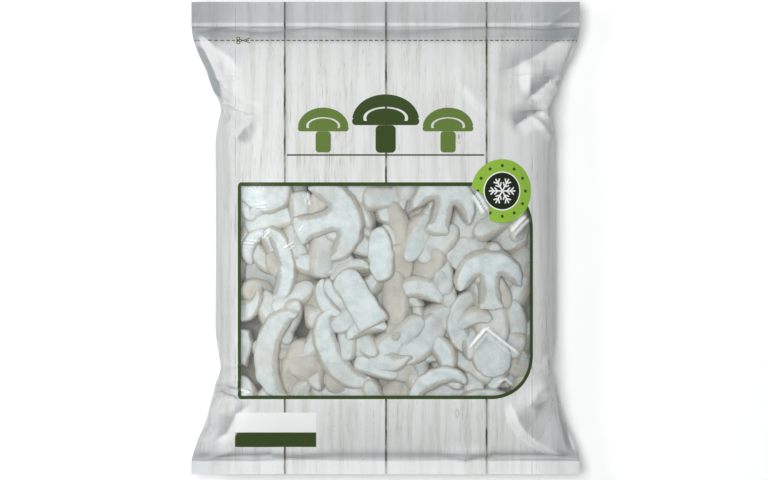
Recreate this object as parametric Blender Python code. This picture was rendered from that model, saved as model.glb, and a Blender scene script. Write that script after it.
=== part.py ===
"""A filled pillow bag of frozen sliced button mushrooms, lying on its back with its front up.

Units are metres, +X runs across the bag, +Y towards its top seal and +Z up, out of its front.
The origin is the centre of the bag's footprint, on the surface that it lies on.

The bag is one printed film, welded across its top and bottom, with a clear window in its front.
Behind the window lie the mushroom slices that show there, one object each, and under them the
rest of the slices, frozen together. The film is thin, so its solids are a 1 mm wall.
"""

import math

import bmesh
import bpy
import numpy as np
from mathutils import Matrix, Vector

# Driving dimensions of the film
FILM_WIDTH = 0.250
BAG_HEIGHT = 0.304
TOP_SEAL = 0.016
BOTTOM_SEAL = 0.009
PILE_HEIGHT = 0.058
SEAL_LEVEL = 0.020
WALL = 0.0010
GAP = 0.0003

# The waist: the filled middle is narrower than the seals, with a pinch near either end
WAIST_HALF = 0.1088
TOP_SHOULDER = 0.051
BOTTOM_SHOULDER = 0.058
PINCH_DEPTH = 0.0042
PINCH_REACH = 0.0085
PINCH_Y = 0.082

# The window, inside its printed border line, and the round badge that covers one corner of it
WINDOW_LEFT = -0.0931
WINDOW_RIGHT = 0.0928
WINDOW_TOP = 0.0336
WINDOW_BOTTOM = -0.1014
WINDOW_CORNER = 0.0270
BADGE_CENTRE = (0.0751, 0.0303)
BADGE_RADIUS = 0.0202

# How finely the film is divided, and how the slices are laid under it
COLUMNS = 18
ROWS = 22
CELL = 0.0012
CLEARANCE = 0.00045
SLICE_TRIES = 90
SEED = 20

# Each visible slice: kind, centre x and y, turn of its round side from +Y, length, width, tilt.
# Lengths are in millimetres and angles in degrees. The first lie on top and touch the film.
SLICES = (
    ("whole", -36.5, 8.5, -72, 53, 21, 4),
    ("whole", 68.6, -29.0, 4, 45, 19, 5),
    ("cap", -71.8, -72.2, 81, 59, 20, 4),
    ("stem", -19.0, -34.8, 30, 39, 18, 8),
    ("cap", -65.2, -21.9, -86, 47, 15, 10),
    ("oval", 51.2, -10.3, -64, 27, 20, 4),
    ("oval", -7.4, -12.9, 4, 34, 16, 6),
    ("cap", -8.2, -67.7, 134, 45, 19, 12),
    ("whole", 3.4, -49.4, 36, 35, 17, 6),
    ("cap", -29.3, -70.9, 120, 53, 17, 12),
    ("cap", -0.3, -91.5, 62, 31, 17, 9),
    ("cap", 28.7, -92.4, 24, 36, 13, 6),
    ("oval", 30.6, -21.9, -10, 32, 20, 10),
    ("cap", -13.9, 22.6, 76, 38, 19, 5),
    ("cap", -60.2, -3.2, -22, 31, 17, 14),
    ("oval", 63.5, -79.5, 18, 28, 23, 9),
    ("cap", 49.9, -51.5, 84, 39, 17, 10),
    ("dome", -53.8, -77.3, 8, 28, 25, 6),
    ("whole", 41.6, 18.2, -14, 37, 19, 7),
    ("oval", -79.6, 31.8, 84, 34, 24, 5),
    ("oval", 73.8, 1.3, -8, 28, 22, 12),
    ("dome", -46.1, -39.3, 32, 33, 20, 10),
    ("oval", 1.0, 26.9, -32, 25, 15, 10),
    ("dome", 27.4, -2.6, -66, 33, 23, 8),
    ("oval", -40.9, -25.1, 10, 20, 16, 8),
    ("stem", 30.6, -63.8, 2, 23, 15, 8),
    ("cap", -86.0, -48.3, 180, 24, 15, 8),
    ("oval", -82.8, -13.5, 22, 25, 19, 8),
    ("stem", 8.1, 19.6, -56, 22, 12, 12),
    ("stem", 6.1, -21.9, 8, 31, 9, 22),
    ("cap", 15.1, -22.6, -84, 33, 10, 24),
    ("dome", 22.9, 16.8, -8, 24, 14, 12),
    ("dome", 29.3, -79.0, 82, 22, 15, 10),
    ("oval", -57.7, -99.0, 86, 23, 14, 8),
    ("oval", -24.2, -99.4, 84, 23, 14, 8),
    ("cap", -90.5, 13.5, -88, 31, 12, 12),
    ("cap", -81.5, 9.0, 84, 27, 14, 12),
    ("stem", -73.8, 18.0, 74, 26, 12, 12),
    ("oval", 10.6, 12.0, -38, 19, 12, 10),
    ("dome", -75.7, -35.0, 14, 25, 12, 10),
    ("oval", 62.2, -97.0, 88, 31, 14, 8),
    ("dome", 81.5, -80.5, 30, 28, 19, 10),
    ("dome", 86.4, -5.6, 4, 27, 14, 14),
    ("bit", -89.2, -67.7, 4, 22, 12, 10),
    ("oval", -89.6, -94.0, 8, 19, 14, 10),
    ("stem", -53.8, -19.3, 70, 21, 12, 14),
    ("dome", -31.9, -92.6, 60, 21, 15, 10),
    ("bit", 7.4, -3.6, 20, 17, 14, 12),
    ("bit", 59.0, 8.4, 0, 16, 12, 14),
    ("bit", 16.4, -70.2, 0, 16, 13, 12),
    ("stem", -43.5, -98.8, 0, 17, 10, 10),
    ("bit", 15.8, 30.6, 70, 15, 11, 12),
    ("bit", 47.4, -85.7, 10, 15, 12, 12),
    ("bit", 35.8, -48.6, 0, 14, 9, 12),
    ("bit", -37.0, -84.2, 75, 14, 10, 12),
)
SLICE_THICKNESS = 0.0058
DEEPEST = 0.019
STEM_LENGTH = 0.42
BULK_SLICES = 22

PRINTED_FILM = (0.800, 0.815, 0.810)
CLEAR_FILM = (0.86, 0.89, 0.90)
FROZEN_SLICE = (0.720, 0.735, 0.715)
FROZEN_SKIN = (0.640, 0.620, 0.560)


def clear_scene():
    """Remove the objects that the file opens with."""
    for item in list(bpy.data.objects):
        bpy.data.objects.remove(item, do_unlink=True)


def material(name, colour, roughness, alpha=1.0):
    """Return a Principled material of one colour."""
    made = bpy.data.materials.new(name)
    made.use_nodes = True
    shader = made.node_tree.nodes["Principled BSDF"]
    shader.inputs["Base Color"].default_value = (*colour, 1.0)
    shader.inputs["Roughness"].default_value = roughness
    shader.inputs["Metallic"].default_value = 0.0
    shader.inputs["Alpha"].default_value = alpha
    return made


def add_object(name, mesh, finish=None):
    """Link a mesh to the scene as an object of that name."""
    made = bpy.data.objects.new(name, mesh)
    bpy.context.scene.collection.objects.link(made)
    if finish is not None:
        mesh.materials.append(finish)
    return made


def mesh_from(name, points, faces):
    """Build a mesh from points and faces, all faces turned outwards."""
    made = bpy.data.meshes.new(name)
    made.from_pydata([tuple(map(float, p)) for p in points], [], faces)
    build = bmesh.new()
    build.from_mesh(made)
    bmesh.ops.recalc_face_normals(build, faces=build.faces)
    build.to_mesh(made)
    build.free()
    return made


def cut(target, cutter, operation, solver="EXACT"):
    """Apply a Boolean of the cutter to the target and keep its result."""
    step = target.modifiers.new(operation.lower(), "BOOLEAN")
    step.operation = operation
    step.solver = solver
    step.object = cutter
    depsgraph = bpy.context.evaluated_depsgraph_get()
    result = bpy.data.meshes.new_from_object(target.evaluated_get(depsgraph))
    target.modifiers.remove(step)
    old = target.data
    target.data = result
    bpy.data.meshes.remove(old)


def smooth_ramp(t):
    """Ease from 0 to 1 with level ends."""
    t = np.clip(t, 0.0, 1.0)
    return t * t * (3.0 - 2.0 * t)


TOP_LINE = BAG_HEIGHT / 2 - TOP_SEAL
BOTTOM_LINE = -BAG_HEIGHT / 2 + BOTTOM_SEAL
POUCH_MIDDLE = (TOP_LINE + BOTTOM_LINE) / 2
POUCH_HALF = (TOP_LINE - BOTTOM_LINE) / 2


def half_width(y):
    """Half the bag's width at y: full at the seals, drawn in at the shoulders, pinched, then even."""
    flare = FILM_WIDTH / 2 - WAIST_HALF
    from_top = smooth_ramp((TOP_LINE - y) / TOP_SHOULDER)
    from_bottom = smooth_ramp(np.clip((y - BOTTOM_LINE) / BOTTOM_SHOULDER, 0, 1) ** 0.75)
    pinch = np.exp(-(((np.abs(y) - PINCH_Y) / PINCH_REACH) ** 2))
    return FILM_WIDTH / 2 - flare * np.minimum(from_top, from_bottom) - PINCH_DEPTH * pinch


def along(y):
    """Distance from the pouch's middle as a share of its half length."""
    return np.clip(np.abs(y - POUCH_MIDDLE) / POUCH_HALF, 0.0, 1.0)


def front_height(x, y, half):
    """Height of the front film over the seal level: a broad crown that falls off at the sides."""
    crown = (PILE_HEIGHT - SEAL_LEVEL - WALL) * (1.0 - along(y) ** 3.4)
    side = np.clip(np.abs(x) / half, 0.0, 1.0)
    return crown * (1.0 - side ** 2.6) ** (1 / 2.1)


def back_depth(x, y, half):
    """Depth of the back film below the seal level: flat where it lies, curved up at the edges."""
    lift = np.clip((along(y) - 0.66) / 0.34, 0.0, 1.0)
    depth = (SEAL_LEVEL - WALL) * (1.0 - lift ** 2)
    side = np.clip((np.abs(x) / half - 0.72) / 0.28, 0.0, 1.0)
    return depth * np.sqrt(1.0 - side ** 2)


def front_inside(x, y):
    """Height of the front film's inner face at any point of the pouch."""
    half = half_width(y) - 2 * WALL
    return SEAL_LEVEL + front_height(x, y, half)


def back_inside(x, y):
    """Height of the back film's inner face at any point of the pouch."""
    half = half_width(y) - 2 * WALL
    return SEAL_LEVEL - back_depth(x, y, half)


def pillow(name, rows, side_margin, edge):
    """Loft a pillow between a front and a back surface that stand an edge apart at the sides.

    Across each row the points crowd towards the sides, where the film turns.
    """
    across = np.sin(np.linspace(-math.pi / 2, math.pi / 2, COLUMNS + 1))
    across = np.sign(across) * np.abs(across) ** 0.92
    half = half_width(rows) - side_margin
    x = across[None, :] * half[:, None]
    y = np.repeat(rows[:, None], COLUMNS + 1, 1)
    front = SEAL_LEVEL + edge + front_height(x, y, half[:, None])
    back = SEAL_LEVEL - edge - back_depth(x, y, half[:, None])
    points = np.concatenate([
        np.stack([x, y, front], -1).reshape(-1, 3),
        np.stack([x, y, back], -1).reshape(-1, 3),
    ])
    width = COLUMNS + 1
    behind = len(rows) * width
    faces = []
    for i in range(len(rows) - 1):
        for j in range(COLUMNS):
            a = i * width + j
            faces.append((a, a + 1, a + 1 + width, a + width))
            faces.append((behind + a, behind + a + width, behind + a + 1 + width, behind + a + 1))
    for i in range(len(rows) - 1):
        for a in (i * width, i * width + COLUMNS):
            faces.append((a, a + width, behind + a + width, behind + a))
    for j in range(COLUMNS):
        for a in (j, (len(rows) - 1) * width + j):
            faces.append((a, a + 1, behind + a + 1, behind + a))
    return mesh_from(name, points, faces)


def pouch_rows(margin):
    """Rows between the two seals, closer together towards them."""
    spread = np.sin(np.linspace(-math.pi / 2, math.pi / 2, ROWS + 1))
    return POUCH_MIDDLE + (POUCH_HALF - margin) * spread


def flatten_back(mesh):
    """Merge the back's level faces into one flat face to rest on."""
    build = bmesh.new()
    build.from_mesh(mesh)
    lowest = min(v.co.z for v in build.verts) + 1e-6
    level = [f for f in build.faces if f.normal.z < -0.999999 and f.calc_center_median().z < lowest]
    bmesh.ops.dissolve_faces(build, faces=level)
    build.to_mesh(mesh)
    build.free()


def window_prism(name, shrink):
    """A tall prism over the window: square left corners, round right ones, the badge's bite out."""
    left, right = WINDOW_LEFT + shrink, WINDOW_RIGHT - shrink
    top, bottom = WINDOW_TOP - shrink, WINDOW_BOTTOM + shrink
    corner = WINDOW_CORNER - shrink
    outline = [(left, top), (left, bottom)]
    for angle in np.radians(np.linspace(-90, 0, 7)):
        outline.append((right - corner + corner * math.cos(angle), bottom + corner + corner * math.sin(angle)))
    reach = BADGE_RADIUS + shrink
    start = math.asin((right - BADGE_CENTRE[0]) / reach)
    finish = math.acos((top - BADGE_CENTRE[1]) / reach)
    for angle in np.linspace(math.pi - start, 2 * math.pi - finish, 12):
        outline.append((BADGE_CENTRE[0] + reach * math.sin(angle), BADGE_CENTRE[1] + reach * math.cos(angle)))
    low, high = SEAL_LEVEL + 0.004, PILE_HEIGHT + 0.02
    count = len(outline)
    points = [(x, y, low) for x, y in outline] + [(x, y, high) for x, y in outline]
    faces = [tuple(range(count)), tuple(range(count, 2 * count))]
    faces += [(i, (i + 1) % count, count + (i + 1) % count, count + i) for i in range(count)]
    prism = add_object(name, mesh_from(name, points, faces))
    prism.hide_render = True
    prism.display_type = "WIRE"
    return prism


def make_film(finish, window_finish):
    """Make the printed film and its clear window as the wall between two pillows."""
    seal_ends = np.array([-BAG_HEIGHT / 2]), np.array([BAG_HEIGHT / 2])
    outer_rows = np.concatenate([seal_ends[0], pouch_rows(0.0), seal_ends[1]])
    outer_mesh = pillow("printed_film", outer_rows, 0.0, WALL)
    flatten_back(outer_mesh)
    outer = add_object("printed_film", outer_mesh, finish)
    inner = add_object("inside", pillow("inside", pouch_rows(WALL), 2 * WALL, 0.15 * WALL))
    window = add_object("clear_window", outer_mesh.copy())
    window.data.materials.clear()
    window.data.materials.append(window_finish)
    cut(outer, inner, "DIFFERENCE")
    cut(window, inner, "DIFFERENCE")
    opening = window_prism("window_opening", 0.0)
    pane = window_prism("window_pane", GAP)
    cut(outer, opening, "DIFFERENCE")
    cut(window, pane, "INTERSECT")
    for helper in (inner, opening, pane):
        bpy.data.objects.remove(helper, do_unlink=True)
    for film in (outer, window):
        film.data.shade_smooth()
        film.data.set_sharp_from_angle(angle=math.radians(35))


def arc(count, start, stop, half_length, height):
    """Points of a half ellipse from one angle to another, in degrees from +X."""
    angles = np.radians(np.linspace(start, stop, count))
    return np.stack([half_length * np.cos(angles), height * np.sin(angles)], 1)


def slice_outline(kind, length, width):
    """Outline of a slice in its own plane, round side towards +Y.

    A whole slice is a cap's half ellipse with the stem below it, a cap is the crescent without
    the stem, a stem is a rod with one round end, and the others are ovals and broken bits.
    """
    half = length / 2
    if kind == "whole":
        top = arc(11, -18, 198, half, width)
        neck, foot = 0.145 * length, 0.18 * length
        low = -STEM_LENGTH * length
        under = [(-0.76 * half, -0.20 * width), (-neck, 0.20 * width), (-neck, 0.4 * low),
                 (-foot, 0.96 * low), (0.0, 1.04 * low)]
        right = [(-x, y) for x, y in reversed(under[:-1])]
        shape = np.concatenate([top, under, right])
    elif kind == "cap":
        top = arc(11, -18, 198, half, width)
        under = [(x, 0.20 * width * (1 - 2.6 * (x / half) ** 2)) for x in np.linspace(-0.78, 0.78, 6) * half]
        shape = np.concatenate([top, under])
    elif kind == "stem":
        round_end = arc(7, 0, 180, width / 2, 0.36 * width) + (0, half - 0.36 * width)
        shape = np.concatenate([round_end, [(-0.50 * width, 0), (-0.56 * width, -half), (0, -1.04 * half),
                                            (0.56 * width, -half), (0.50 * width, 0)]])
    elif kind == "bit":
        angles = np.radians(np.arange(0, 360, 40))
        reach = 1.0 + 0.18 * np.sin(3 * angles + length)
        shape = np.stack([width / 2 * reach * np.cos(angles), half * reach * np.sin(angles)], 1)
    else:
        angles = np.radians(np.arange(0, 360, 360 / 14))
        narrow = 1.0 - 0.10 * np.sin(angles)
        shape = np.stack([width / 2 * narrow * np.cos(angles), half * np.sin(angles)], 1)
    return shape - (shape.max(0) + shape.min(0)) / 2


def slice_body(kind, outline, thickness):
    """Points and faces of a slice about its own centre.

    A slice is a flat piece whose rim bulges a little at mid thickness. A dome is a cap's end,
    flat below and rounded above.
    """
    count = len(outline)
    if kind == "dome":
        rings = ((1.0, -0.5), (0.90, 0.25), (0.55, 0.85))
    else:
        rings = ((0.93, -0.5), (1.0, 0.0), (0.93, 0.5))
    points = np.concatenate([
        np.column_stack([outline * scale, np.full(count, level * thickness)]) for scale, level in rings
    ])
    faces = [tuple(range(count)), tuple(range(2 * count, 3 * count))]
    for ring in range(2):
        for i in range(count):
            a, b = ring * count + i, ring * count + (i + 1) % count
            faces.append((a, b, b + count, a + count))
    return points, faces


def inside_outline(outline, points):
    """Tell which points lie inside an outline, by counting the edges crossed to one side."""
    x, y = points[:, 0], points[:, 1]
    hit = np.zeros(len(points), bool)
    for (ax, ay), (bx, by) in zip(outline, np.roll(outline, -1, 0)):
        spans = (ay > y) != (by > y)
        hit ^= spans & (x < (bx - ax) * (y - ay) / (by - ay + 1e-12) + ax)
    return hit


def fill_points(outline):
    """Points on a 1 mm grid inside an outline, with the outline's own corners and edge middles."""
    low, high = outline.min(0), outline.max(0)
    grid = np.stack(np.meshgrid(np.arange(low[0], high[0], 0.001), np.arange(low[1], high[1], 0.001)), -1)
    grid = grid.reshape(-1, 2)
    following = np.roll(outline, -1, 0)
    edges = [outline + (following - outline) * t for t in (0.0, 0.25, 0.5, 0.75)]
    return np.concatenate([grid[inside_outline(outline, grid)], *edges])


class Ceiling:
    """Lowest height, over each cell, that nothing above may be crossed: the film, then slices.

    Slices are raised from below until they touch it, and each then lowers it where it lies.
    """

    def __init__(self):
        self.low = np.array([-0.118, -0.140])
        self.size = np.ceil(np.array([0.236, 0.225]) / CELL).astype(int)
        centres = [self.low[k] + (np.arange(self.size[k]) + 0.5) * CELL for k in (0, 1)]
        self.x, self.y = np.meshgrid(*centres, indexing="ij")
        self.height = front_inside(self.x, self.y) - CLEARANCE

    def cells(self, points):
        """Cell numbers of points given by x and y."""
        places = np.floor((points[:, :2] - self.low) / CELL).astype(int)
        return np.clip(places, 1, self.size - 2)

    def footprint(self, upper, lower):
        """Highest and lowest point of a slice over each cell that it covers, widened by a cell."""
        high = np.full(self.size, -np.inf)
        deep = np.full(self.size, np.inf)
        for points in (upper, lower):
            cells = self.cells(points)
            for dx in (-1, 0, 1):
                for dy in (-1, 0, 1):
                    np.maximum.at(high, (cells[:, 0] + dx, cells[:, 1] + dy), points[:, 2])
                    np.minimum.at(deep, (cells[:, 0] + dx, cells[:, 1] + dy), points[:, 2])
        return high, deep

    def room(self, high):
        """How far a slice of that upper side can be raised."""
        covered = np.isfinite(high)
        return float((self.height[covered] - high[covered]).min())

    def lower_under(self, deep, lift):
        """Bring the ceiling down to the underside of a slice that has been placed."""
        covered = np.isfinite(deep)
        self.height[covered] = np.minimum(self.height[covered], deep[covered] + lift - CLEARANCE)

    def slope(self, x, y):
        """Downhill slope of the film over a point, across and along."""
        step = 0.006
        across = front_inside(x + step, y) - front_inside(x - step, y)
        length = front_inside(x, y + step) - front_inside(x, y - step)
        return across / (2 * step), length / (2 * step)


def tilt_matrix(turn, lean_x, lean_y):
    """Turn in the plane, then lean so that the plane rises by the two slopes."""
    up = Vector((-lean_x, -lean_y, 1.0)).normalized()
    lean = Vector((0, 0, 1)).rotation_difference(up).to_matrix()
    return np.array(lean @ Matrix.Rotation(turn, 3, "Z"))


def place_slice(ceiling, draw, kind, outline, thickness, x, y, turn, tilt, wander=0.0030):
    """Find the highest place near x, y for a slice, and return its turned points and its faces.

    Each try shifts it a little and leans it another way, about the film's own slope there. The
    tries go on, further out, while the slice would lie too deep to be seen.
    """
    points, faces = slice_body(kind, outline, thickness)
    flat = fill_points(outline)
    count = len(flat)
    dome = kind == "dome"
    upper_level = thickness * (0.5 - (0.9 * np.linalg.norm(flat / outline.max(0), axis=1) ** 2 if dome else 0))
    upper_flat = np.column_stack([flat, np.broadcast_to(np.maximum(upper_level, -thickness / 2), count)])
    lower_flat = np.column_stack([flat, np.full(count, -thickness / 2)])
    upper_flat = np.concatenate([upper_flat, points])
    best = None
    slope_x, slope_y = ceiling.slope(x, y)
    shallow = front_inside(x, y) - DEEPEST
    for attempt in range(4 * SLICE_TRIES):
        if attempt >= SLICE_TRIES and best[1] > shallow:
            break
        shift = draw.normal(0.0, wander, 2) * (attempt > 0) * (1 + attempt // SLICE_TRIES)
        aim = draw.uniform(0, 2 * math.pi)
        lean = math.tan(math.radians(tilt)) * draw.uniform(0.3, 2.2)
        turned = tilt_matrix(turn, 0.8 * slope_x + lean * math.cos(aim), 0.8 * slope_y + lean * math.sin(aim))
        centre = np.array([x + shift[0], y + shift[1], 0.0])
        upper = upper_flat @ turned.T + centre
        lower = lower_flat @ turned.T + centre
        high, deep = ceiling.footprint(upper, lower)
        lift = ceiling.room(high)
        score = lift - 0.4 * float(np.linalg.norm(shift))
        if best is None or score > best[0]:
            best = (score, lift, turned, centre, deep)
    _, lift, turned, centre, deep = best
    ceiling.lower_under(deep, lift)
    return points @ turned.T + centre + (0, 0, lift), faces


def make_slices(ceiling, draw, finish, skin_finish):
    """Make the slices that show through the window, from the top of the pile down."""
    for number, (kind, x, y, turn, length, width, tilt) in enumerate(SLICES, 1):
        grown = 1.0 + 0.14 * min(number / 12, 1.0)
        outline = slice_outline(kind, grown * length / 1000, grown * width / 1000)
        thickness = SLICE_THICKNESS * (1.25 if kind == "dome" else draw.uniform(0.85, 1.1))
        points, faces = place_slice(ceiling, draw, kind, outline, thickness, x / 1000, y / 1000,
                                    math.radians(turn), tilt)
        name = f"slice_{number:02d}_{kind}"
        made = add_object(name, mesh_from(name, points, faces), skin_finish if kind == "dome" else finish)
        made.data.shade_smooth()
        made.data.set_sharp_from_angle(angle=math.radians(40))


def bulk_core(ceiling):
    """Solid of the slices that are frozen together: the pouch's inside, up to the slices above it."""
    columns, rows = 20, 24
    across = np.linspace(-1.0, 1.0, columns + 1)
    y_line = np.linspace(POUCH_MIDDLE - POUCH_HALF + 0.020, POUCH_MIDDLE + POUCH_HALF - 0.020, rows + 1)
    half = half_width(y_line) - 0.012
    x = across[None, :] * half[:, None]
    y = np.repeat(y_line[:, None], columns + 1, 1)
    front = front_inside(x, y) - 0.0045
    reach_x, reach_y = 1.1 * x.max() / (columns / 2), 1.1 * (y_line[1] - y_line[0])
    for i in range(rows + 1):
        for j in range(columns + 1):
            near = (np.abs(ceiling.x - x[i, j]) < reach_x) & (np.abs(ceiling.y - y[i, j]) < reach_y)
            if near.any():
                front[i, j] = min(front[i, j], float(ceiling.height[near].min()))
    back = back_inside(x, y) + 0.0025
    front = np.maximum(front, back + 0.0030)
    width = columns + 1
    behind = (rows + 1) * width
    points = np.concatenate([np.stack([x, y, front], -1).reshape(-1, 3), np.stack([x, y, back], -1).reshape(-1, 3)])
    faces = []
    for i in range(rows):
        for j in range(columns):
            a = i * width + j
            faces.append((a, a + 1, a + 1 + width))
            faces.append((a, a + 1 + width, a + width))
            faces.append((behind + a, behind + a + width, behind + a + 1 + width, behind + a + 1))
        for a in (i * width, i * width + columns):
            faces.append((a, a + width, behind + a + width, behind + a))
    for j in range(columns):
        for a in (j, rows * width + j):
            faces.append((a, a + 1, behind + a + 1, behind + a))
    core = mesh_from("frozen_bulk", points, faces)
    flatten_back(core)
    return core, (x, y, front)


def make_bulk(ceiling, draw, finish):
    """Make the frozen mass below the visible slices, with slices standing out of it in the gaps."""
    core, (core_x, core_y, core_top) = bulk_core(ceiling)
    bulk = add_object("frozen_bulk", core, finish)
    joined = bpy.data.collections.new("bulk_slices")
    bpy.context.scene.collection.children.link(joined)
    kinds = ("whole", "cap", "oval", "stem")
    open_cells = ceiling.height - (front_inside(ceiling.x, ceiling.y) - 0.012)
    over_window = (np.abs(ceiling.x) < 0.092) & (ceiling.y > -0.102) & (ceiling.y < 0.034)
    for number in range(BULK_SLICES):
        free = np.argwhere((open_cells > 0) & over_window)
        cell = free[int(draw.integers(len(free)))]
        x, y = float(ceiling.x[tuple(cell)]), float(ceiling.y[tuple(cell)])
        spent = (np.abs(ceiling.x - x) < 0.010) & (np.abs(ceiling.y - y) < 0.010)
        open_cells[spent] = -1.0
        kind = kinds[number % len(kinds)]
        length = float(draw.uniform(0.020, 0.032))
        outline = slice_outline(kind, length, 0.45 * length)
        before = ceiling.height.copy()
        points, faces = place_slice(ceiling, draw, kind, outline, SLICE_THICKNESS, x, y,
                                    float(draw.uniform(0, 2 * math.pi)), 22, wander=0.004)
        nearest = np.argmin((core_x - points[:, 0].mean()) ** 2 + (core_y - points[:, 1].mean()) ** 2)
        sink = float(points[:, 2].mean() - core_top.flat[nearest])
        if sink > 0.001:
            points = points - (0, 0, sink - 0.001)
            ceiling.height = before
        name = f"bulk_slice_{number:02d}"
        piece = bpy.data.objects.new(name, mesh_from(name, points, faces))
        joined.objects.link(piece)
    step = bulk.modifiers.new("union", "BOOLEAN")
    step.operation = "UNION"
    step.operand_type = "COLLECTION"
    step.collection = joined
    step.solver = "MANIFOLD"
    depsgraph = bpy.context.evaluated_depsgraph_get()
    result = bpy.data.meshes.new_from_object(bulk.evaluated_get(depsgraph))
    bulk.modifiers.remove(step)
    bulk.data = result
    for piece in list(joined.objects):
        bpy.data.objects.remove(piece, do_unlink=True)
    bpy.data.collections.remove(joined)
    if not bulk.data.materials:
        bulk.data.materials.append(finish)


def main():
    """Build the bag and what is in it."""
    clear_scene()
    make_film(material("printed_film", PRINTED_FILM, 0.32), material("clear_film", CLEAR_FILM, 0.12, alpha=0.25))
    draw = np.random.default_rng(SEED)
    ceiling = Ceiling()
    slice_finish = material("frozen_slice", FROZEN_SLICE, 0.6)
    make_slices(ceiling, draw, slice_finish, material("frozen_skin", FROZEN_SKIN, 0.6))
    make_bulk(ceiling, draw, slice_finish)


main()
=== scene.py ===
"""The looks of a sealed pillow bag of frozen sliced mushrooms, lying on its back.

The bag is a tube of film, sealed across both ends and relaxed over what fills it. Its front
carries a printed board pattern and a clear window with the frozen slices packed behind it.
"""

import logging
import math
from dataclasses import dataclass, field
from enum import Enum
from typing import Sequence, Union

import bmesh
import bpy
import numpy as np
from mathutils import Matrix, Vector


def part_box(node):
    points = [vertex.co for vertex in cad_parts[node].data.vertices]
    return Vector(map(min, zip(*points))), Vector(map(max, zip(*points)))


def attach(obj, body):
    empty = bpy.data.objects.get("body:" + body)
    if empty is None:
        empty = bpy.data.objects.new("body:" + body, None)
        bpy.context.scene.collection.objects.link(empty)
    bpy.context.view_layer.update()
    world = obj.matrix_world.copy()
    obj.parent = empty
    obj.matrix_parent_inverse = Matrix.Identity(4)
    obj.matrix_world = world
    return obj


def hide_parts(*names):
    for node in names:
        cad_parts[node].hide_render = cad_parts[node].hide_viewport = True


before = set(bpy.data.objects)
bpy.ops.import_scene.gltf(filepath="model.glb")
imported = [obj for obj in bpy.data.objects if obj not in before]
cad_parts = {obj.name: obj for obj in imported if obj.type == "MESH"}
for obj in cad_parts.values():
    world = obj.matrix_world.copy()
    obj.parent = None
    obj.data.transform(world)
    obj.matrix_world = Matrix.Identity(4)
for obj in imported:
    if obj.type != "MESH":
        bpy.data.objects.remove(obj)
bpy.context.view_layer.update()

LOG = logging.getLogger("bag")
MM = 0.001
FILM_NODE = "printed_film"
WINDOW_NODE = "clear_window"
BULK_NODE = "frozen_bulk"
SLICE_PREFIX = "slice_"
PRINT_MAP = "print"

Number = Union[float, "Wire"]
Numbers = Union[float, np.ndarray]
Colour = tuple[float, float, float]
Stroke = tuple[tuple[float, float], tuple[float, float]]


def shade(red: int, green: int, blue: int) -> Colour:
    """Turn a colour as seen, 0 to 255, into the linear colour a shader takes.

    Args:
        red, green, blue: the parts of the colour as seen on a screen.

    Returns:
        The linear colour.
    """
    def linear(part: int) -> float:
        """One part of the colour, made linear."""
        value = part / 255
        return value / 12.92 if value <= 0.04045 else ((value + 0.055) / 1.055) ** 2.4
    return linear(red), linear(green), linear(blue)


def ease(t: np.ndarray) -> np.ndarray:
    """Rise from 0 to 1 with level ends: 3t² − 2t³."""
    t = np.clip(t, 0.0, 1.0)
    return t * t * (3.0 - 2.0 * t)


def link(name: str, mesh: bpy.types.Mesh) -> bpy.types.Object:
    """Put a mesh in the scene as an object at the origin.

    Args:
        name: the object's name.
        mesh: its mesh.

    Returns:
        The new object.
    """
    made = bpy.data.objects.new(name, mesh)
    bpy.context.scene.collection.objects.link(made)
    return made


def points_of(mesh: bpy.types.Mesh) -> np.ndarray:
    """The mesh's points as an array of rows x, y, z.

    Args:
        mesh: the mesh.

    Returns:
        The points, in metres.
    """
    points = np.empty(len(mesh.vertices) * 3, np.float32)
    mesh.vertices.foreach_get("co", points)
    return points.reshape(-1, 3).astype(float)


def normals_of(mesh: bpy.types.Mesh) -> np.ndarray:
    """The mesh's smooth normals as an array of rows x, y, z.

    Args:
        mesh: the mesh.

    Returns:
        The normals, each 1 long.
    """
    normals = np.empty(len(mesh.vertices) * 3, np.float32)
    mesh.vertices.foreach_get("normal", normals)
    return normals.reshape(-1, 3).astype(float)


def set_points(mesh: bpy.types.Mesh, points: np.ndarray) -> None:
    """Write an array of points back into a mesh."""
    mesh.vertices.foreach_set("co", points.astype(np.float32).ravel())
    mesh.update()


def set_value(mesh: bpy.types.Mesh, name: str, values: np.ndarray) -> None:
    """Store one number for each point of a mesh under a name that a material reads."""
    made = mesh.attributes.new(name, "FLOAT", "POINT")
    made.data.foreach_set("value", values.astype(np.float32))


def waves(points: np.ndarray, length: float, seed: int, count: int = 10) -> np.ndarray:
    """Smooth random relief: the sum of plane waves in random directions, each sin(2π p·d / length).

    Args:
        points: rows x, y, z in metres.
        length: the middle wavelength in metres.
        seed: the draw's seed.
        count: how many waves are summed.

    Returns:
        One number for each point, mostly from -1 to 1.
    """
    draw = np.random.default_rng(seed)
    ways = draw.normal(size=(count, 3))
    ways /= np.linalg.norm(ways, axis=1, keepdims=True)
    rates = 2 * math.pi / (length * draw.uniform(0.7, 1.5, count))
    phases = draw.uniform(0, 2 * math.pi, count)
    return np.sin((points @ ways.T) * rates + phases).sum(1) / math.sqrt(count)


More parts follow.
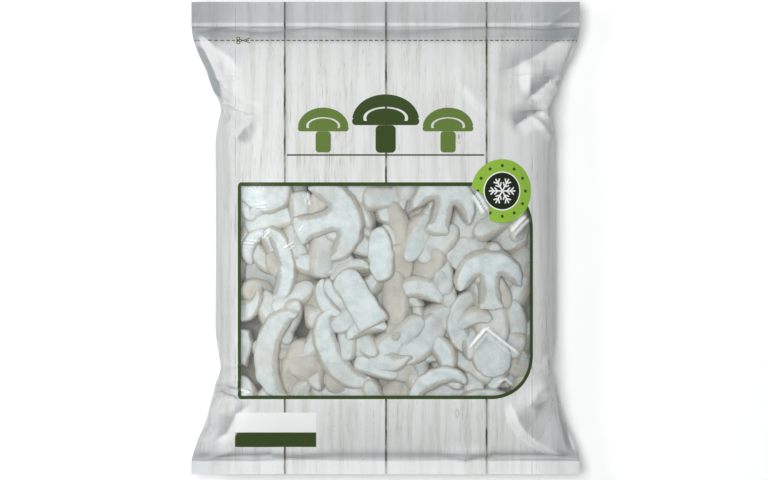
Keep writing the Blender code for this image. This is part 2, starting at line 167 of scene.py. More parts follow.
class Wire:
    """A value inside a material, which can be written as plain arithmetic."""

    def __init__(self, graph: "Graph", socket: bpy.types.NodeSocket) -> None:
        """Hold the socket that gives the value."""
        self.graph = graph
        self.socket = socket

    def __add__(self, other: Number) -> "Wire":
        """Sum."""
        return self.graph.math("ADD", self, other)

    def __sub__(self, other: Number) -> "Wire":
        """Difference."""
        return self.graph.math("SUBTRACT", self, other)

    def __rsub__(self, other: Number) -> "Wire":
        """Difference from a plain number."""
        return self.graph.math("SUBTRACT", other, self)

    def __mul__(self, other: Number) -> "Wire":
        """Product."""
        return self.graph.math("MULTIPLY", self, other)

    def __truediv__(self, other: Number) -> "Wire":
        """Quotient."""
        return self.graph.math("DIVIDE", self, other)

    __radd__ = __add__
    __rmul__ = __mul__


class Graph:
    """The nodes of one material, built from wires."""

    def __init__(self, name: str) -> None:
        """Start a material with nothing but its output.

        Args:
            name: the material's name.
        """
        self.material = bpy.data.materials.new(name)
        self.material.use_nodes = True
        self.tree = self.material.node_tree
        self.tree.nodes.clear()
        self.output = self.node("ShaderNodeOutputMaterial")

    def node(self, kind: str, **settings: object) -> bpy.types.Node:
        """Add a node and set its properties.

        Args:
            kind: the node's type.
            settings: its properties, by name.

        Returns:
            The node.
        """
        made = self.tree.nodes.new(kind)
        for name, value in settings.items():
            setattr(made, name, value)
        return made

    def feed(self, socket: bpy.types.NodeSocket, value: object) -> None:
        """Join a wire to a socket, or set the socket to a plain value.

        Args:
            socket: the socket.
            value: the wire, or the plain value.
        """
        if isinstance(value, Wire):
            self.tree.links.new(value.socket, socket)
        elif isinstance(value, (tuple, list)) and socket.type == "RGBA":
            socket.default_value = (*value[:3], 1.0)
        else:
            socket.default_value = value

    def math(self, operation: str, *values: Number) -> Wire:
        """One sum, product or function of wires and numbers.

        Args:
            operation: the operation's name.
            values: what it works on.

        Returns:
            The result.
        """
        made = self.node("ShaderNodeMath", operation=operation)
        for socket, value in zip(made.inputs, values):
            self.feed(socket, value)
        return Wire(self, made.outputs[0])

    def ramp(self, value: Number, low: float, high: float) -> Wire:
        """Ease from 0 at low to 1 at high; low may be the larger one.

        Args:
            value: what is measured.
            low, high: where the result is 0 and where it is 1.

        Returns:
            The result, from 0 to 1.
        """
        made = self.node("ShaderNodeMapRange", interpolation_type="SMOOTHSTEP")
        for socket, given in zip(made.inputs, (value, low, high)):
            self.feed(socket, given)
        return Wire(self, made.outputs[0])

    def mix(self, share: Number, first: object, second: object) -> Wire:
        """A colour between two, by share.

        Args:
            share: 0 for the first colour, 1 for the second.
            first, second: the colours.

        Returns:
            The colour.
        """
        made = self.node("ShaderNodeMix", data_type="RGBA")
        for index, value in ((0, share), (6, first), (7, second)):
            self.feed(made.inputs[index], value)
        return Wire(self, made.outputs[2])

    def vector(self, x: Number, y: Number, z: Number = 0.0) -> Wire:
        """Join three values into a vector.

        Args:
            x, y, z: the values.

        Returns:
            The vector.
        """
        made = self.node("ShaderNodeCombineXYZ")
        for socket, value in zip(made.inputs, (x, y, z)):
            self.feed(socket, value)
        return Wire(self, made.outputs[0])

    def parts(self, vector: Wire) -> tuple[Wire, Wire, Wire]:
        """Split a vector into its three values.

        Args:
            vector: the vector.

        Returns:
            Its three values.
        """
        made = self.node("ShaderNodeSeparateXYZ")
        self.feed(made.inputs[0], vector)
        return tuple(Wire(self, socket) for socket in made.outputs)

    def noise(self, vector: Wire, scale: float, detail: float = 3.0, rough: float = 0.55) -> Wire:
        """Cloudy noise from 0 to 1 at a scale given in cells a metre.

        Args:
            vector: the place.
            scale: the cells a metre.
            detail: how many finer layers there are.
            rough: how strong those are.

        Returns:
            The noise.
        """
        made = self.node("ShaderNodeTexNoise")
        for name, value in (("Vector", vector), ("Scale", scale), ("Detail", detail), ("Roughness", rough)):
            self.feed(made.inputs[name], value)
        return Wire(self, made.outputs[0])

    def place(self) -> Wire:
        """The point's place in the object's own frame."""
        return Wire(self, self.node("ShaderNodeTexCoord").outputs["Object"])

    def print_place(self) -> tuple[Wire, Wire]:
        """The point's place on the flat film, across and along, in metres.

        Returns:
            The place across, and the place along.
        """
        made = self.node("ShaderNodeUVMap", uv_map=PRINT_MAP)
        across, along, _ = self.parts(Wire(self, made.outputs[0]))
        return across, along

    def value(self, name: str) -> Wire:
        """A number stored in the mesh under a name."""
        made = self.node("ShaderNodeAttribute", attribute_name=name)
        return Wire(self, made.outputs["Fac"])

    def bump(self, height: Wire, distance: float) -> Wire:
        """Relief of a given depth in metres, as a normal.

        Args:
            height: the relief.
            distance: its depth in metres.

        Returns:
            The normal.
        """
        made = self.node("ShaderNodeBump")
        for name, value in (("Height", height), ("Distance", distance), ("Strength", 1.0)):
            self.feed(made.inputs[name], value)
        return Wire(self, made.outputs[0])

    def shader(self, kind: str, **values: object) -> Wire:
        """Add a shader node; a value's name has _ where its socket has a space.

        Args:
            kind: the node's type.
            values: its inputs, by name.

        Returns:
            The shader.
        """
        made = self.node(kind)
        for name, value in values.items():
            self.feed(made.inputs[name.replace("_", " ")], value)
        return Wire(self, made.outputs[0])

    def blend(self, share: Number, first: Wire, second: Wire) -> Wire:
        """One shader over another, by share.

        Args:
            share: 0 for the first shader, 1 for the second.
            first, second: the shaders.

        Returns:
            The shader.
        """
        made = self.node("ShaderNodeMixShader")
        for socket, value in zip(made.inputs, (share, first, second)):
            self.feed(socket, value)
        return Wire(self, made.outputs[0])

    def finish(self, shader: Wire) -> bpy.types.Material:
        """Join the last shader to the output and return the material."""
        self.feed(self.output.inputs["Surface"], shader)
        return self.material

    def lower(self, first: Number, second: Number) -> Wire:
        """The smaller of two."""
        return self.math("MINIMUM", first, second)

    def upper(self, first: Number, second: Number) -> Wire:
        """The larger of two."""
        return self.math("MAXIMUM", first, second)

    def size(self, value: Wire) -> Wire:
        """The value without its sign."""
        return self.math("ABSOLUTE", value)

    def reach(self, x: Number, y: Number) -> Wire:
        """The length of the vector x, y."""
        return self.math("SQRT", self.math("MULTIPLY_ADD", x, x, self.math("MULTIPLY", y, y)))

    def box(self, x: Wire, y: Wire, half_x: float, half_y: float, radius: Number) -> Wire:
        """How far a point lies outside a rectangle with round corners; inside it is below 0.

        Args:
            x, y: the place, from the rectangle's middle.
            half_x, half_y: half its sides.
            radius: its corners' radius.

        Returns:
            The distance.
        """
        out_x = self.size(x) - half_x + radius
        out_y = self.size(y) - half_y + radius
        outside = self.reach(self.upper(out_x, 0.0), self.upper(out_y, 0.0))
        return outside + self.lower(self.upper(out_x, out_y), 0.0) - radius

    def stroke(self, x: Wire, y: Wire, start: Sequence[float], end: Sequence[float]) -> Wire:
        """How far a point lies from the straight stroke between two points.

        Args:
            x, y: the place.
            start, end: the stroke's two ends.

        Returns:
            The distance.
        """
        run_x, run_y = end[0] - start[0], end[1] - start[1]
        square = run_x * run_x + run_y * run_y
        from_x, from_y = x - start[0], y - start[1]
        share = self.math("ADD", from_x * (run_x / square), from_y * (run_y / square))
        share = self.lower(self.upper(share, 0.0), 1.0)
        return self.reach(from_x - share * run_x, from_y - share * run_y)


@dataclass
class PouchForm:
    """The filled bag's form, as the solid model has it: a crowned front, a flat back, two seals."""

    width: float
    height: float
    pile: float
    level: float = 20.0 * MM
    top_seal: float = 16.0 * MM
    bottom_seal: float = 9.0 * MM
    waist: float = 108.8 * MM
    top_shoulder: float = 51.0 * MM
    bottom_shoulder: float = 58.0 * MM
    pinch_depth: float = 4.2 * MM
    pinch_reach: float = 8.5 * MM
    pinch_y: float = 82.0 * MM

    @classmethod
    def from_frame(cls) -> "PouchForm":
        """Take the outer sizes from the film's solid."""
        low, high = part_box(FILM_NODE)
        return cls(width=high.x - low.x, height=high.y - low.y, pile=high.z - low.z)

    @property
    def top_line(self) -> float:
        """Where the filled part ends at the top seal."""
        return self.height / 2 - self.top_seal

    @property
    def bottom_line(self) -> float:
        """Where the filled part ends at the bottom seal."""
        return self.bottom_seal - self.height / 2

    def half_width(self, y: np.ndarray, pinch: float = 1.0) -> np.ndarray:
        """Half the bag's width: full at the seals, easing in at both shoulders, pinched below them.

        Args:
            y: places along the bag.
            pinch: how much of the pinches counts.

        Returns:
            Half the width at each place.
        """
        flare = self.width / 2 - self.waist
        top = ease((self.top_line - y) / self.top_shoulder)
        bottom = ease(np.clip((y - self.bottom_line) / self.bottom_shoulder, 0, 1) ** 0.75)
        dip = np.exp(-(((np.abs(y) - self.pinch_y) / self.pinch_reach) ** 2))
        return self.width / 2 - flare * np.minimum(top, bottom) - pinch * self.pinch_depth * dip

    def along(self, y: np.ndarray) -> np.ndarray:
        """How far a place lies from the middle towards the nearer seal, 0 to 1."""
        middle = (self.top_line + self.bottom_line) / 2
        return np.clip(np.abs(y - middle) / ((self.top_line - self.bottom_line) / 2), 0, 1)

    def front(self, x: np.ndarray, y: np.ndarray, half: np.ndarray, top: float) -> np.ndarray:
        """Height of the front above the seals: crown 1 − a^3.4 times side curve (1 − s^2.6)^(1/2.1)."""
        side = np.clip(np.abs(x) / half, 0, 1)
        return (top - self.level) * (1 - self.along(y) ** 3.4) * (1 - side ** 2.6) ** (1 / 2.1)

    def back(self, x: np.ndarray, y: np.ndarray, half: np.ndarray) -> np.ndarray:
        """Depth of the back below the seals: flat, rounded to the sides, lifting near both ends.

        Args:
            x, y: places across and along the bag.
            half: half the bag's width there.

        Returns:
            The depths.
        """
        lift = np.clip((self.along(y) - 0.66) / 0.34, 0, 1)
        side = np.clip((np.abs(x) / half - 0.72) / 0.28, 0, 1)
        return self.level * (1 - lift ** 2) * np.sqrt(1 - side ** 2)


@dataclass
class FilmRelaxer:
    """Relaxes a tube of film over the bag's contents, on a grid of columns round it and rows along it.

    Each step moves the points by the air's push and gravity, then brings the film's threads back
    to their flat length, and keeps the film off the contents and the floor.
    """

    form: PouchForm
    flat_length: float = 324.0 * MM
    volume: float = 2.64e-3
    columns: int = 128
    rows: int = 82
    step: float = 0.004
    drag: float = 0.08
    push: float = 14.0
    weight: float = 3.0
    top_speed: float = 0.5
    full_within: float = 0.06e-3
    slack: float = 1.5 * MM
    pile_gap: float = 0.5 * MM
    back_gap: float = 0.6 * MM
    side_room: float = 1.0 * MM
    roughness: float = 0.4 * MM
    samples: int = 4001
    seed: int = 5
    points: np.ndarray = field(init=False, repr=False)
    speed: np.ndarray = field(init=False, repr=False)

    def __post_init__(self) -> None:
        """Lay the tube on the form, evenly by length, with a little seeded roughness."""
        form = self.form
        line = np.linspace(-form.height / 2, form.height / 2, self.samples)
        rise = form.level + form.front(0 * line, line, form.half_width(line), form.pile)
        length = np.concatenate([[0], np.cumsum(np.hypot(np.diff(line), np.diff(rise)))])
        rows_y = np.interp(self.places, length * self.flat_length / length[-1], line)
        self.points = np.stack([self.ring(y) for y in rows_y])
        draw = np.random.default_rng(self.seed)
        free = ~self.sealed
        self.points[free] += draw.normal(0, self.roughness, self.points[free].shape)
        self.lay_seals()

    @property
    def across(self) -> float:
        """The flat distance between two columns."""
        return 2 * self.form.width / self.columns

    @property
    def down(self) -> float:
        """The flat distance between two rows."""
        return self.flat_length / (self.rows - 1)

    @property
    def places(self) -> np.ndarray:
        """Each row's flat distance from the bottom end."""
        return np.linspace(0, self.flat_length, self.rows)

    @property
    def sealed(self) -> np.ndarray:
        """Which rows lie in a seal.

        Returns:
            One truth value a row.
        """
        edge = 1e-9
        top = self.places >= self.flat_length - self.form.top_seal - edge
        return (self.places <= self.form.bottom_seal + edge) | top

    def ring(self, y: float) -> np.ndarray:
        """One row of the tube: over the front from left to right, and back under it.

        Args:
            y: the row's place along the bag.

        Returns:
            The row's points, evenly spaced by length on each side.
        """
        form = self.form
        half = float(form.half_width(np.array(y)))
        x = half * np.sin(np.linspace(-np.pi / 2, np.pi / 2, 1201))
        sides = (form.level + form.front(x, y, half, form.pile), form.level - form.back(x, y, half))
        count = self.columns // 2
        row = np.empty((self.columns, 3))
        row[:, 1] = y
        for side, z in enumerate(sides):
            length = np.concatenate([[0], np.cumsum(np.hypot(np.diff(x), np.diff(z)))])
            share = np.arange(count) / count
            share = share if side == 0 else 1 - share
            part = slice(side * count, (side + 1) * count)
            row[part, 0] = np.interp(share * length[-1], length, x)
            row[part, 2] = np.interp(share * length[-1], length, z)
        return row

    def lay_seals(self) -> None:
        """Hold the sealed rows flat, straight and at full width, and stop all movement."""
        form = self.form
        index = np.arange(self.columns)
        half = self.columns // 2
        flat_x = np.where(index <= half, index, self.columns - index) * self.across - form.width / 2
        rows = np.where(self.sealed)[0]
        place = self.places[rows]
        near_bottom = place < self.flat_length / 2
        y = np.where(near_bottom, place - form.height / 2, form.height / 2 - self.flat_length + place)
        self.points[rows, :, 0] = flat_x[None]
        self.points[rows, :, 1] = y[:, None]
        self.points[rows, :, 2] = form.level
        self.speed = np.zeros_like(self.points)

    def outward(self) -> np.ndarray:
        """The film's outward normals, each 4 times its point's area long.

        Returns:
            The normals, rows by columns by 3.
        """
        around = np.roll(self.points, -1, 1) - np.roll(self.points, 1, 1)
        along = np.empty_like(self.points)
        along[1:-1] = self.points[2:] - self.points[:-2]
        along[0] = self.points[1] - self.points[0]
        along[-1] = self.points[-1] - self.points[-2]
        return np.cross(around, along)

    def keep_off(self) -> None:
        """Move points out of the contents, off the floor and in from past the waist.

        In the shoulders the two side folds stay on the bag's outline.
        """
        form, points = self.form, self.points
        x, y, z = points[..., 0], points[..., 1], points[..., 2]
        half = form.half_width(y, 0.0) - self.slack
        top = form.level + form.front(x, y, half, form.pile - self.pile_gap)
        bottom = form.level - form.back(x, y, half) + self.back_gap
        inside = (np.abs(x) < half) & (z < top) & (z > bottom) & (form.along(y) < 0.97)
        to_side = half - np.abs(x)
        sideways = to_side < np.minimum(top - z, z - bottom)
        up = top - z < z - bottom
        z[...] = np.where(inside & ~sideways, np.where(up, top, bottom), z)
        x[...] = np.where(inside & sideways, np.sign(x) * half, x)
        limit = form.half_width(y) + self.side_room
        x[...] = np.clip(x, -limit, limit)
        for column, side in ((0, -1), (self.columns // 2, 1)):
            shoulder = np.abs(y[:, column]) > form.pinch_y - form.pinch_reach
            x[:, column] = np.where(shoulder, side * form.half_width(y[:, column]), x[:, column])
        z[...] = np.maximum(z, 0.0)

    def straighten(self, stiffness: float, loops: int) -> None:
        """Bring every thread of the film back to its flat length.

        Args:
            stiffness: how hard points two apart are pushed from folding together.
            loops: how often all threads are gone through.
        """
        points = self.points
        free = np.where(self.sealed, 0.0, 1.0)[:, None, None]
        corner = math.hypot(self.across, self.down)

        def pull(run: np.ndarray, rest: float) -> np.ndarray:
            """The part of each thread by which it is longer than at rest."""
            long = np.linalg.norm(run, axis=-1, keepdims=True)
            return (1 - rest / np.maximum(long, 1e-9)) * run

        for _ in range(loops):
            for start in (0, 1):
                first = np.arange(start, self.columns, 2)
                second = (first + 1) % self.columns
                move = 0.5 * free * pull(points[:, second] - points[:, first], self.across)
                points[:, first] += move
                points[:, second] -= move
            for start in (0, 1):
                first = np.arange(start, self.rows - 1, 2)
                second = first + 1
                shares = np.maximum(free[first] + free[second], 1e-9)
                move = pull(points[second] - points[first], self.down) / shares
                points[first] += move * free[first]
                points[second] -= move * free[second]
            moved = np.zeros_like(points)
            for turn in (1, -1):
                other = np.roll(points, -turn, 1)
                move = 0.5 * pull(other[1:] - points[:-1], corner)
                moved[:-1] += move
                moved[1:] -= np.roll(move, turn, 1)
            points += 0.15 * moved * free
            moved[...] = 0
            run = np.roll(points, -2, 1) - points
            long = np.linalg.norm(run, axis=-1, keepdims=True)
            move = 0.5 * np.minimum(1 - 2 * self.across / np.maximum(long, 1e-9), 0) * run
            moved += move - np.roll(move, 2, 1)
            run = points[2:] - points[:-2]
            long = np.linalg.norm(run, axis=-1, keepdims=True)
            move = 0.5 * np.minimum(1 - 2 * self.down / np.maximum(long, 1e-9), 0) * run
            moved[:-2] += move
            moved[2:] -= move
            points += stiffness * moved * free
            self.keep_off()

    def relax(self, steps: int, loops: int, stiffness: float) -> None:
        """Run the film's movement.

        Args:
            steps: how many steps of time.
            loops: how often the threads are gone through in each.
            stiffness: see straighten.
        """
        for _ in range(steps):
            normal = self.outward()
            volume = (self.points[..., 2] * normal[..., 2]).sum() / 4
            full = np.clip((self.volume - volume) / self.full_within, -0.6, 1.0)
            pushed = normal * (self.push * full / (4 * self.across * self.down))
            pushed[..., 2] -= self.weight
            self.speed = (self.speed + self.step * pushed) * (1 - self.drag)
            self.speed[self.sealed] = 0
            before = self.points.copy()
            self.points += self.step * self.speed
            self.straighten(stiffness, loops)
            self.speed = (self.points - before) / self.step
            self.speed[self.sealed] = 0
            fast = np.linalg.norm(self.speed, axis=-1, keepdims=True)
            self.speed *= np.minimum(1, self.top_speed / np.maximum(fast, 1e-9))
        LOG.info("film: %.2f litres, %.1f mm high", volume * 1e3, self.points[..., 2].max() / MM)

    def refine(self) -> None:
        """Put a new column and row between every two, on the smooth curve through four points."""
        self.points = finer_rows(finer_columns(self.points))
        self.columns *= 2
        self.rows = self.rows * 2 - 1
        self.lay_seals()


def finer_columns(points: np.ndarray) -> np.ndarray:
    """Double the columns of a closed tube: new points at (9(b + c) − a − d) / 16.

    Args:
        points: rows by columns by 3.

    Returns:
        The points, with twice the columns.
    """
    made = np.empty((points.shape[0], points.shape[1] * 2, 3))
    made[:, ::2] = points
    near = points + np.roll(points, -1, 1)
    far = np.roll(points, 1, 1) + np.roll(points, -2, 1)
    made[:, 1::2] = (9 * near - far) / 16
    return made


def finer_rows(points: np.ndarray) -> np.ndarray:
    """Double the rows of a sheet: new points at (9(b + c) − a − d) / 16, or halfway at its ends.

    Args:
        points: rows by columns by 3.

    Returns:
        The points, with a row between every two.
    """
    made = np.empty((points.shape[0] * 2 - 1, points.shape[1], 3))
    made[::2] = points
    between = (points[1:] + points[:-1]) / 2
    between[1:-1] = (9 * (points[1:-2] + points[2:-1]) - points[:-3] - points[3:]) / 16
    made[1::2] = between
    return made


@dataclass(frozen=True)
class Crease:
    """A fold in the film along a bent line, seen from the front, in millimetres.

    It is a crest, or a dip where its height is below 0, that falls off over one distance on the
    left of the line and another on its right, so it parts two facets of the film.
    """

    path: tuple[tuple[float, float], ...]
    left: float
    right: float
    height: float
    rounding: float = 0.5
    taper: float = 0.28

    def shape(self, x: np.ndarray, y: np.ndarray) -> tuple[np.ndarray, np.ndarray]:
        """How far the fold lifts each point: the height times (1 - d / reach)^1.5.

        The reach goes over from the left one to the right one round each end of the line.

        Args:
            x, y: the points seen from the front, in metres.

        Returns:
            The full lift in metres, and the share of it that is kept, which eases out to 0 at
            the line's two ends.
        """
        nodes = np.array(self.path) * MM
        runs = np.diff(nodes, axis=0)
        lengths = np.linalg.norm(runs, axis=1)
        before = np.concatenate([[0.0], np.cumsum(lengths)])
        nearest = np.full(x.shape, np.inf)
        share = np.zeros(x.shape)
        side = np.zeros(x.shape)
        for (ax, ay), (run_x, run_y), length, start in zip(nodes, runs, lengths, before):
            from_x, from_y = x - ax, y - ay
            inside = np.clip((from_x * run_x + from_y * run_y) / length ** 2, 0, 1)
            far = np.hypot(from_x - inside * run_x, from_y - inside * run_y)
            nearer = far < nearest
            nearest = np.where(nearer, far, nearest)
            share = np.where(nearer, (start + inside * length) / before[-1], share)
            across = (run_x * from_y - run_y * from_x) / (length * np.maximum(far, 1e-9))
            side = np.where(nearer, across, side)
        round_off = self.rounding * MM
        far = np.sqrt(nearest ** 2 + round_off ** 2) - round_off
        reach = (self.left + self.right) / 2 + side * (self.left - self.right) / 2
        crest = np.clip(1 - far / (reach * MM), 0, 1) ** 1.5
        return self.height * MM * crest, ease(np.minimum(share, 1 - share) / self.taper)


CREASES = (
    Crease(((-122, 134), (-111, 124), (-100, 116), (-88, 103)), 20, 7, 3.2),
    Crease(((-122, 132), (-112, 108), (-102, 84)), 7, 5, -2.2),
    Crease(((-107, 84), (-92, 77), (-78, 77)), 10, 12, -4.0),
    Crease(((-82, 77), (-90, 70), (-96, 60)), 8, 12, 2.2),
    Crease(((101, 135), (124, 149)), 3, 4, 0.5),
    Crease(((126, 136), (110, 126), (92, 115), (68, 103)), 26, 18, -4.2),
    Crease(((93, 117), (92, 89)), 20, 6, 2.6),
    Crease(((115, 107), (93, 90), (90, 85)), 8, 12, -2.8),
    Crease(((106, 82), (92, 77), (80, 69)), 9, 13, -3.8),
    Crease(((94, 81), (101, 71), (109, 60)), 4, 4, 1.9),
    Crease(((46, 104), (57, 88), (66, 81), (80, 74)), 18, 5.5, 2.2),
    Crease(((-118, -94), (-110, -99), (-103, -102), (-92, -105)), 8, 11, -4.6),
    Crease(((-105, -95), (-94, -98), (-83, -101)), 2.5, 4.5, -1.3),
    Crease(((-84, -104), (-96, -114), (-102, -126), (-114, -132)), 6, 11, -2.2),
    Crease(((-121, -112), (-110, -128)), 7, 9, -3.2),
    Crease(((-117, -143), (-94, -135)), 5, 7, 1.1),
    Crease(((80, -101), (84, -116), (89, -123), (98, -130), (119, -140)), 22, 6, 4.6),
    Crease(((104, -91), (97, -99), (90, -109)), 8, 9, 1.8),
    Crease(((111, -100), (92, -108)), 10, 12, 2.4),
    Crease(((109, -90), (115, -105), (119, -128), (123, -143)), 5, 5, -1.8),
    Crease(((47, -79), (64, -59), (93, -82)), 3, 4.5, 1.1),
    Crease(((69, -95), (76, -91), (83, -97)), 3, 4, 0.9),
    Crease(((-93, -4), (-81, -4)), 2, 2.5, 0.7),
    Crease(((-79, -3), (-71, 6)), 2, 2.5, 0.7),
    Crease(((-85, 19), (-72, 19)), 2, 2.5, 0.7),
    Crease(((-65, -8), (-56, -2)), 2, 2.5, 0.7),
    Crease(((-51, 31), (-48, 18)), 2, 2.5, 0.7),
    Crease(((-55, 3), (-50, 9)), 2, 2.5, 0.7),
    Crease(((54, 32), (60, 23), (66, 13)), 4, 4, 1.3),
    Crease(((93, 16), (86, 9), (78, 0)), 4, 4, 1.3),
)


@dataclass
class Film:
    """The bag's film as relaxed, with its place on the flat sheet."""

    form: PouchForm
    points: np.ndarray
    flat_length: float
    gap: float = 0.3 * MM
    part_reach: float = 3.0 * MM
    ripple: float = 0.8 * MM
    ripple_reach: float = 14.3 * MM
    calm_blur: float = 3.5 * MM
    calm_rise: float = 4.0 * MM
    calm_fall: float = 12.0 * MM
    calm_reach: float = 26.0 * MM
    slope_step: float = 0.5 * MM
    print_blur: float = 1.5 * MM
    print_reach: float = 98.0 * MM
    seen_from: float = 2.52
    seen_level: float = 50.0 * MM

    def __post_init__(self) -> None:
        """Start with no folds, so that no point is turned to the light or made steeper."""
        self.turn = np.zeros(self.points.shape[:2])
        self.steep = np.zeros(self.points.shape[:2])

    @property
    def half(self) -> int:
        """The number of columns on the front, and on the back."""
        return self.points.shape[1] // 2

    @property
    def print_x(self) -> np.ndarray:
        """Each front column's place across the flat film, 0 in the middle."""
        return np.linspace(-self.form.width / 2, self.form.width / 2, self.half + 1)

    @property
    def print_y(self) -> np.ndarray:
        """Each row's place along the flat film, 0 in the middle."""
        return np.linspace(-self.flat_length / 2, self.flat_length / 2, self.points.shape[0])

    def front_grid(self) -> np.ndarray:
        """The front's points, rows by columns, both side folds included."""
        return self.points[:, :self.half + 1]

    def back_grid(self) -> np.ndarray:
        """The back's points, rows by columns, both side folds included."""
        return np.concatenate([self.points[:, self.half:], self.points[:, :1]], axis=1)

    def fold(self, creases: Sequence[Crease]) -> None:
        """Lift the front along each crease, square to the film.

        Two slopes that the folds give each point are kept too, without their tapering ends. The
        turn is the slope towards the upper left, or towards the left near the upper left and
        the lower right corner, where the light is taken to come from: above 0, where the film
        comes to face that way, the print gets a painted highlight, and below 0 painted shade.
        The steepness is the slope's size; the clear window gets painted glints where it is large.

        Args:
            creases: the folds.
        """
        around = np.roll(self.points, -1, 1) - np.roll(self.points, 1, 1)
        along = np.gradient(self.points, axis=0)
        normal = np.cross(around, along)
        normal /= np.maximum(np.linalg.norm(normal, axis=-1, keepdims=True), 1e-12)
        front = slice(0, self.half + 1)
        x, y = self.points[:, front, 0], self.points[:, front, 1]
        facing_up = ease(normal[:, front, 2] / 0.3)
        step = self.slope_step
        low, right = ease((-60 * MM - y) / (40 * MM)), ease((x + 110 * MM) / (70 * MM))
        way_y = 0.53 * right * (1 - low) + (0.65 - 0.87 * right) * low
        way_x = -np.sqrt(1 - way_y ** 2)
        lift, rise_x, rise_y = np.zeros((3,) + x.shape)
        for crease in creases:
            full, kept = crease.shape(x, y)
            lift += full * kept
            rise_x += (crease.shape(x + step, y)[0] - full) / step * kept
            rise_y += (crease.shape(x, y + step)[0] - full) / step * kept
        self.turn[:, front] = -(rise_x * way_x + rise_y * way_y) * facing_up
        self.steep[:, front] = np.hypot(rise_x, rise_y) * facing_up
        lift = lift * facing_up
        self.points[:, front] += normal[:, front] * lift[..., None]

    def calm_ends(self) -> None:
        """Even the film out along the bag where it leaves each seal."""
        form = self.form
        blur = max(1, round(self.calm_blur / (self.print_y[1] - self.print_y[0])))
        calm = soften(self.points, 0, blur)
        seal = np.where(self.print_y > 0, form.top_seal, form.bottom_seal)
        beyond = self.flat_length / 2 - np.abs(self.print_y) - seal
        share = ease(beyond / self.calm_rise) * ease((self.calm_reach - beyond) / self.calm_fall)
        self.points += (calm - self.points) * share[:, None, None]

    def part_layers(self) -> None:
        """Give the sealed layers the film's own thickness, rippled a little across the bag."""
        seal = np.where(self.print_y > 0, self.form.top_seal, self.form.bottom_seal)
        beyond = self.flat_length / 2 - np.abs(self.print_y) - seal
        parted = ease((self.part_reach - beyond) / self.part_reach)[:, None]
        rippled = ease((self.ripple_reach - beyond - seal) / self.ripple_reach)[:, None]
        side = np.sin(np.pi * np.arange(self.half * 2) / self.half)[None]
        self.points[..., 2] += 0.5 * self.gap * parted * np.sign(side) * np.abs(side) ** 0.2
        x = self.points[..., 0]
        wave = 0.55 * np.sin(x / (19 * MM) + 0.6) + 0.35 * np.sin(x / (8.3 * MM) + 2.0)
        self.points[..., 2] += self.ripple * rippled * wave
        over = self.points[:, self.half - 1:0:-1, 2]
        below = self.points[:, self.half + 1:, 2]
        below[...] = np.where(parted > 0, np.minimum(below, over - self.gap * parted), below)
        self.points[..., 2] = np.maximum(self.points[..., 2], 0)

    def locate(self, x: Numbers, y: Numbers) -> tuple[Numbers, Numbers]:
        """Find the print's place that is seen at a place on the front.

        The print is laid so that, seen from the front, it is spaced as it is along the bag's two
        middle lines, where the flat film and the seen place are matched by length.

        Args:
            x, y: the place seen from the front, in metres.

        Returns:
            The place across and along the print.
        """
        grid = self.front_grid()
        seen_x = np.maximum.accumulate(self.seen(grid[grid.shape[0] // 2])[0])
        seen_y = np.maximum.accumulate(self.seen(grid[:, grid.shape[1] // 2])[1])
        return np.interp(x, seen_x, self.print_x), np.interp(y, seen_y, self.print_y)

    def seen(self, points: np.ndarray) -> tuple[np.ndarray, np.ndarray]:
        """Where points are seen from straight above: further from the middle the higher they lie.

        Args:
            points: rows of x, y, z.

        Returns:
            The x and y at the seen level that hide each point.
        """
        scale = (self.seen_from - self.seen_level) / (self.seen_from - points[..., 2])
        return points[..., 0] * scale, points[..., 1] * scale

    def front_print(self) -> np.ndarray:
        """Each front point's place on the print, rows by columns by 2.

        It is the flat place, moved by the softened difference to the place that locate gives.
        Past the print's reach that difference shrinks evenly to nothing at the side fold.

        Returns:
            The places across and along.
        """
        grid = self.front_grid()
        flat = np.stack(np.meshgrid(self.print_x, self.print_y), -1)
        seen_x, seen_y = self.seen(grid)
        moved = np.stack(self.locate(seen_x, seen_y), -1) - flat
        inside = np.abs(seen_x) < self.print_reach
        middle, end = self.half // 2, self.form.width / 2
        for side in (slice(middle, None), slice(middle, None, -1)):
            last = np.argmin(inside[:, side], axis=1)[:, None] - 1
            across = np.abs(self.print_x[side])
            held = np.take_along_axis(moved[:, side, 0], last, 1)
            left_over = (end - across)[None] / (end - across[last])
            outer = np.arange(len(across))[None] > last
            moved[:, side, 0] = np.where(outer, held * left_over, moved[:, side, 0])
        reach = max(1, round(self.print_blur * self.half / self.form.width))
        for axis in (0, 1):
            moved = soften(moved, axis, reach)
        return flat + moved

    def back_print(self) -> np.ndarray:
        """Each back point's place on the print, which runs on round the left and right folds."""
        return np.stack(np.meshgrid(self.print_x, self.print_y), -1)


def soften(values: np.ndarray, axis: int, reach: int) -> np.ndarray:
    """Blur an array along one axis with the bell curve e^(−k² / 2r²), its ends held.

    Args:
        values: the array.
        axis: the axis it is blurred along.
        reach: the bell curve's r, in cells.

    Returns:
        The blurred array.
    """
    steps = np.arange(-3 * reach, 3 * reach + 1)
    weights = np.exp(-steps ** 2 / (2 * reach ** 2))
    weights /= weights.sum()
    index = np.arange(values.shape[axis])
    last = values.shape[axis] - 1
    return sum(weight * np.take(values, np.clip(index + step, 0, last), axis)
               for step, weight in zip(steps, weights))


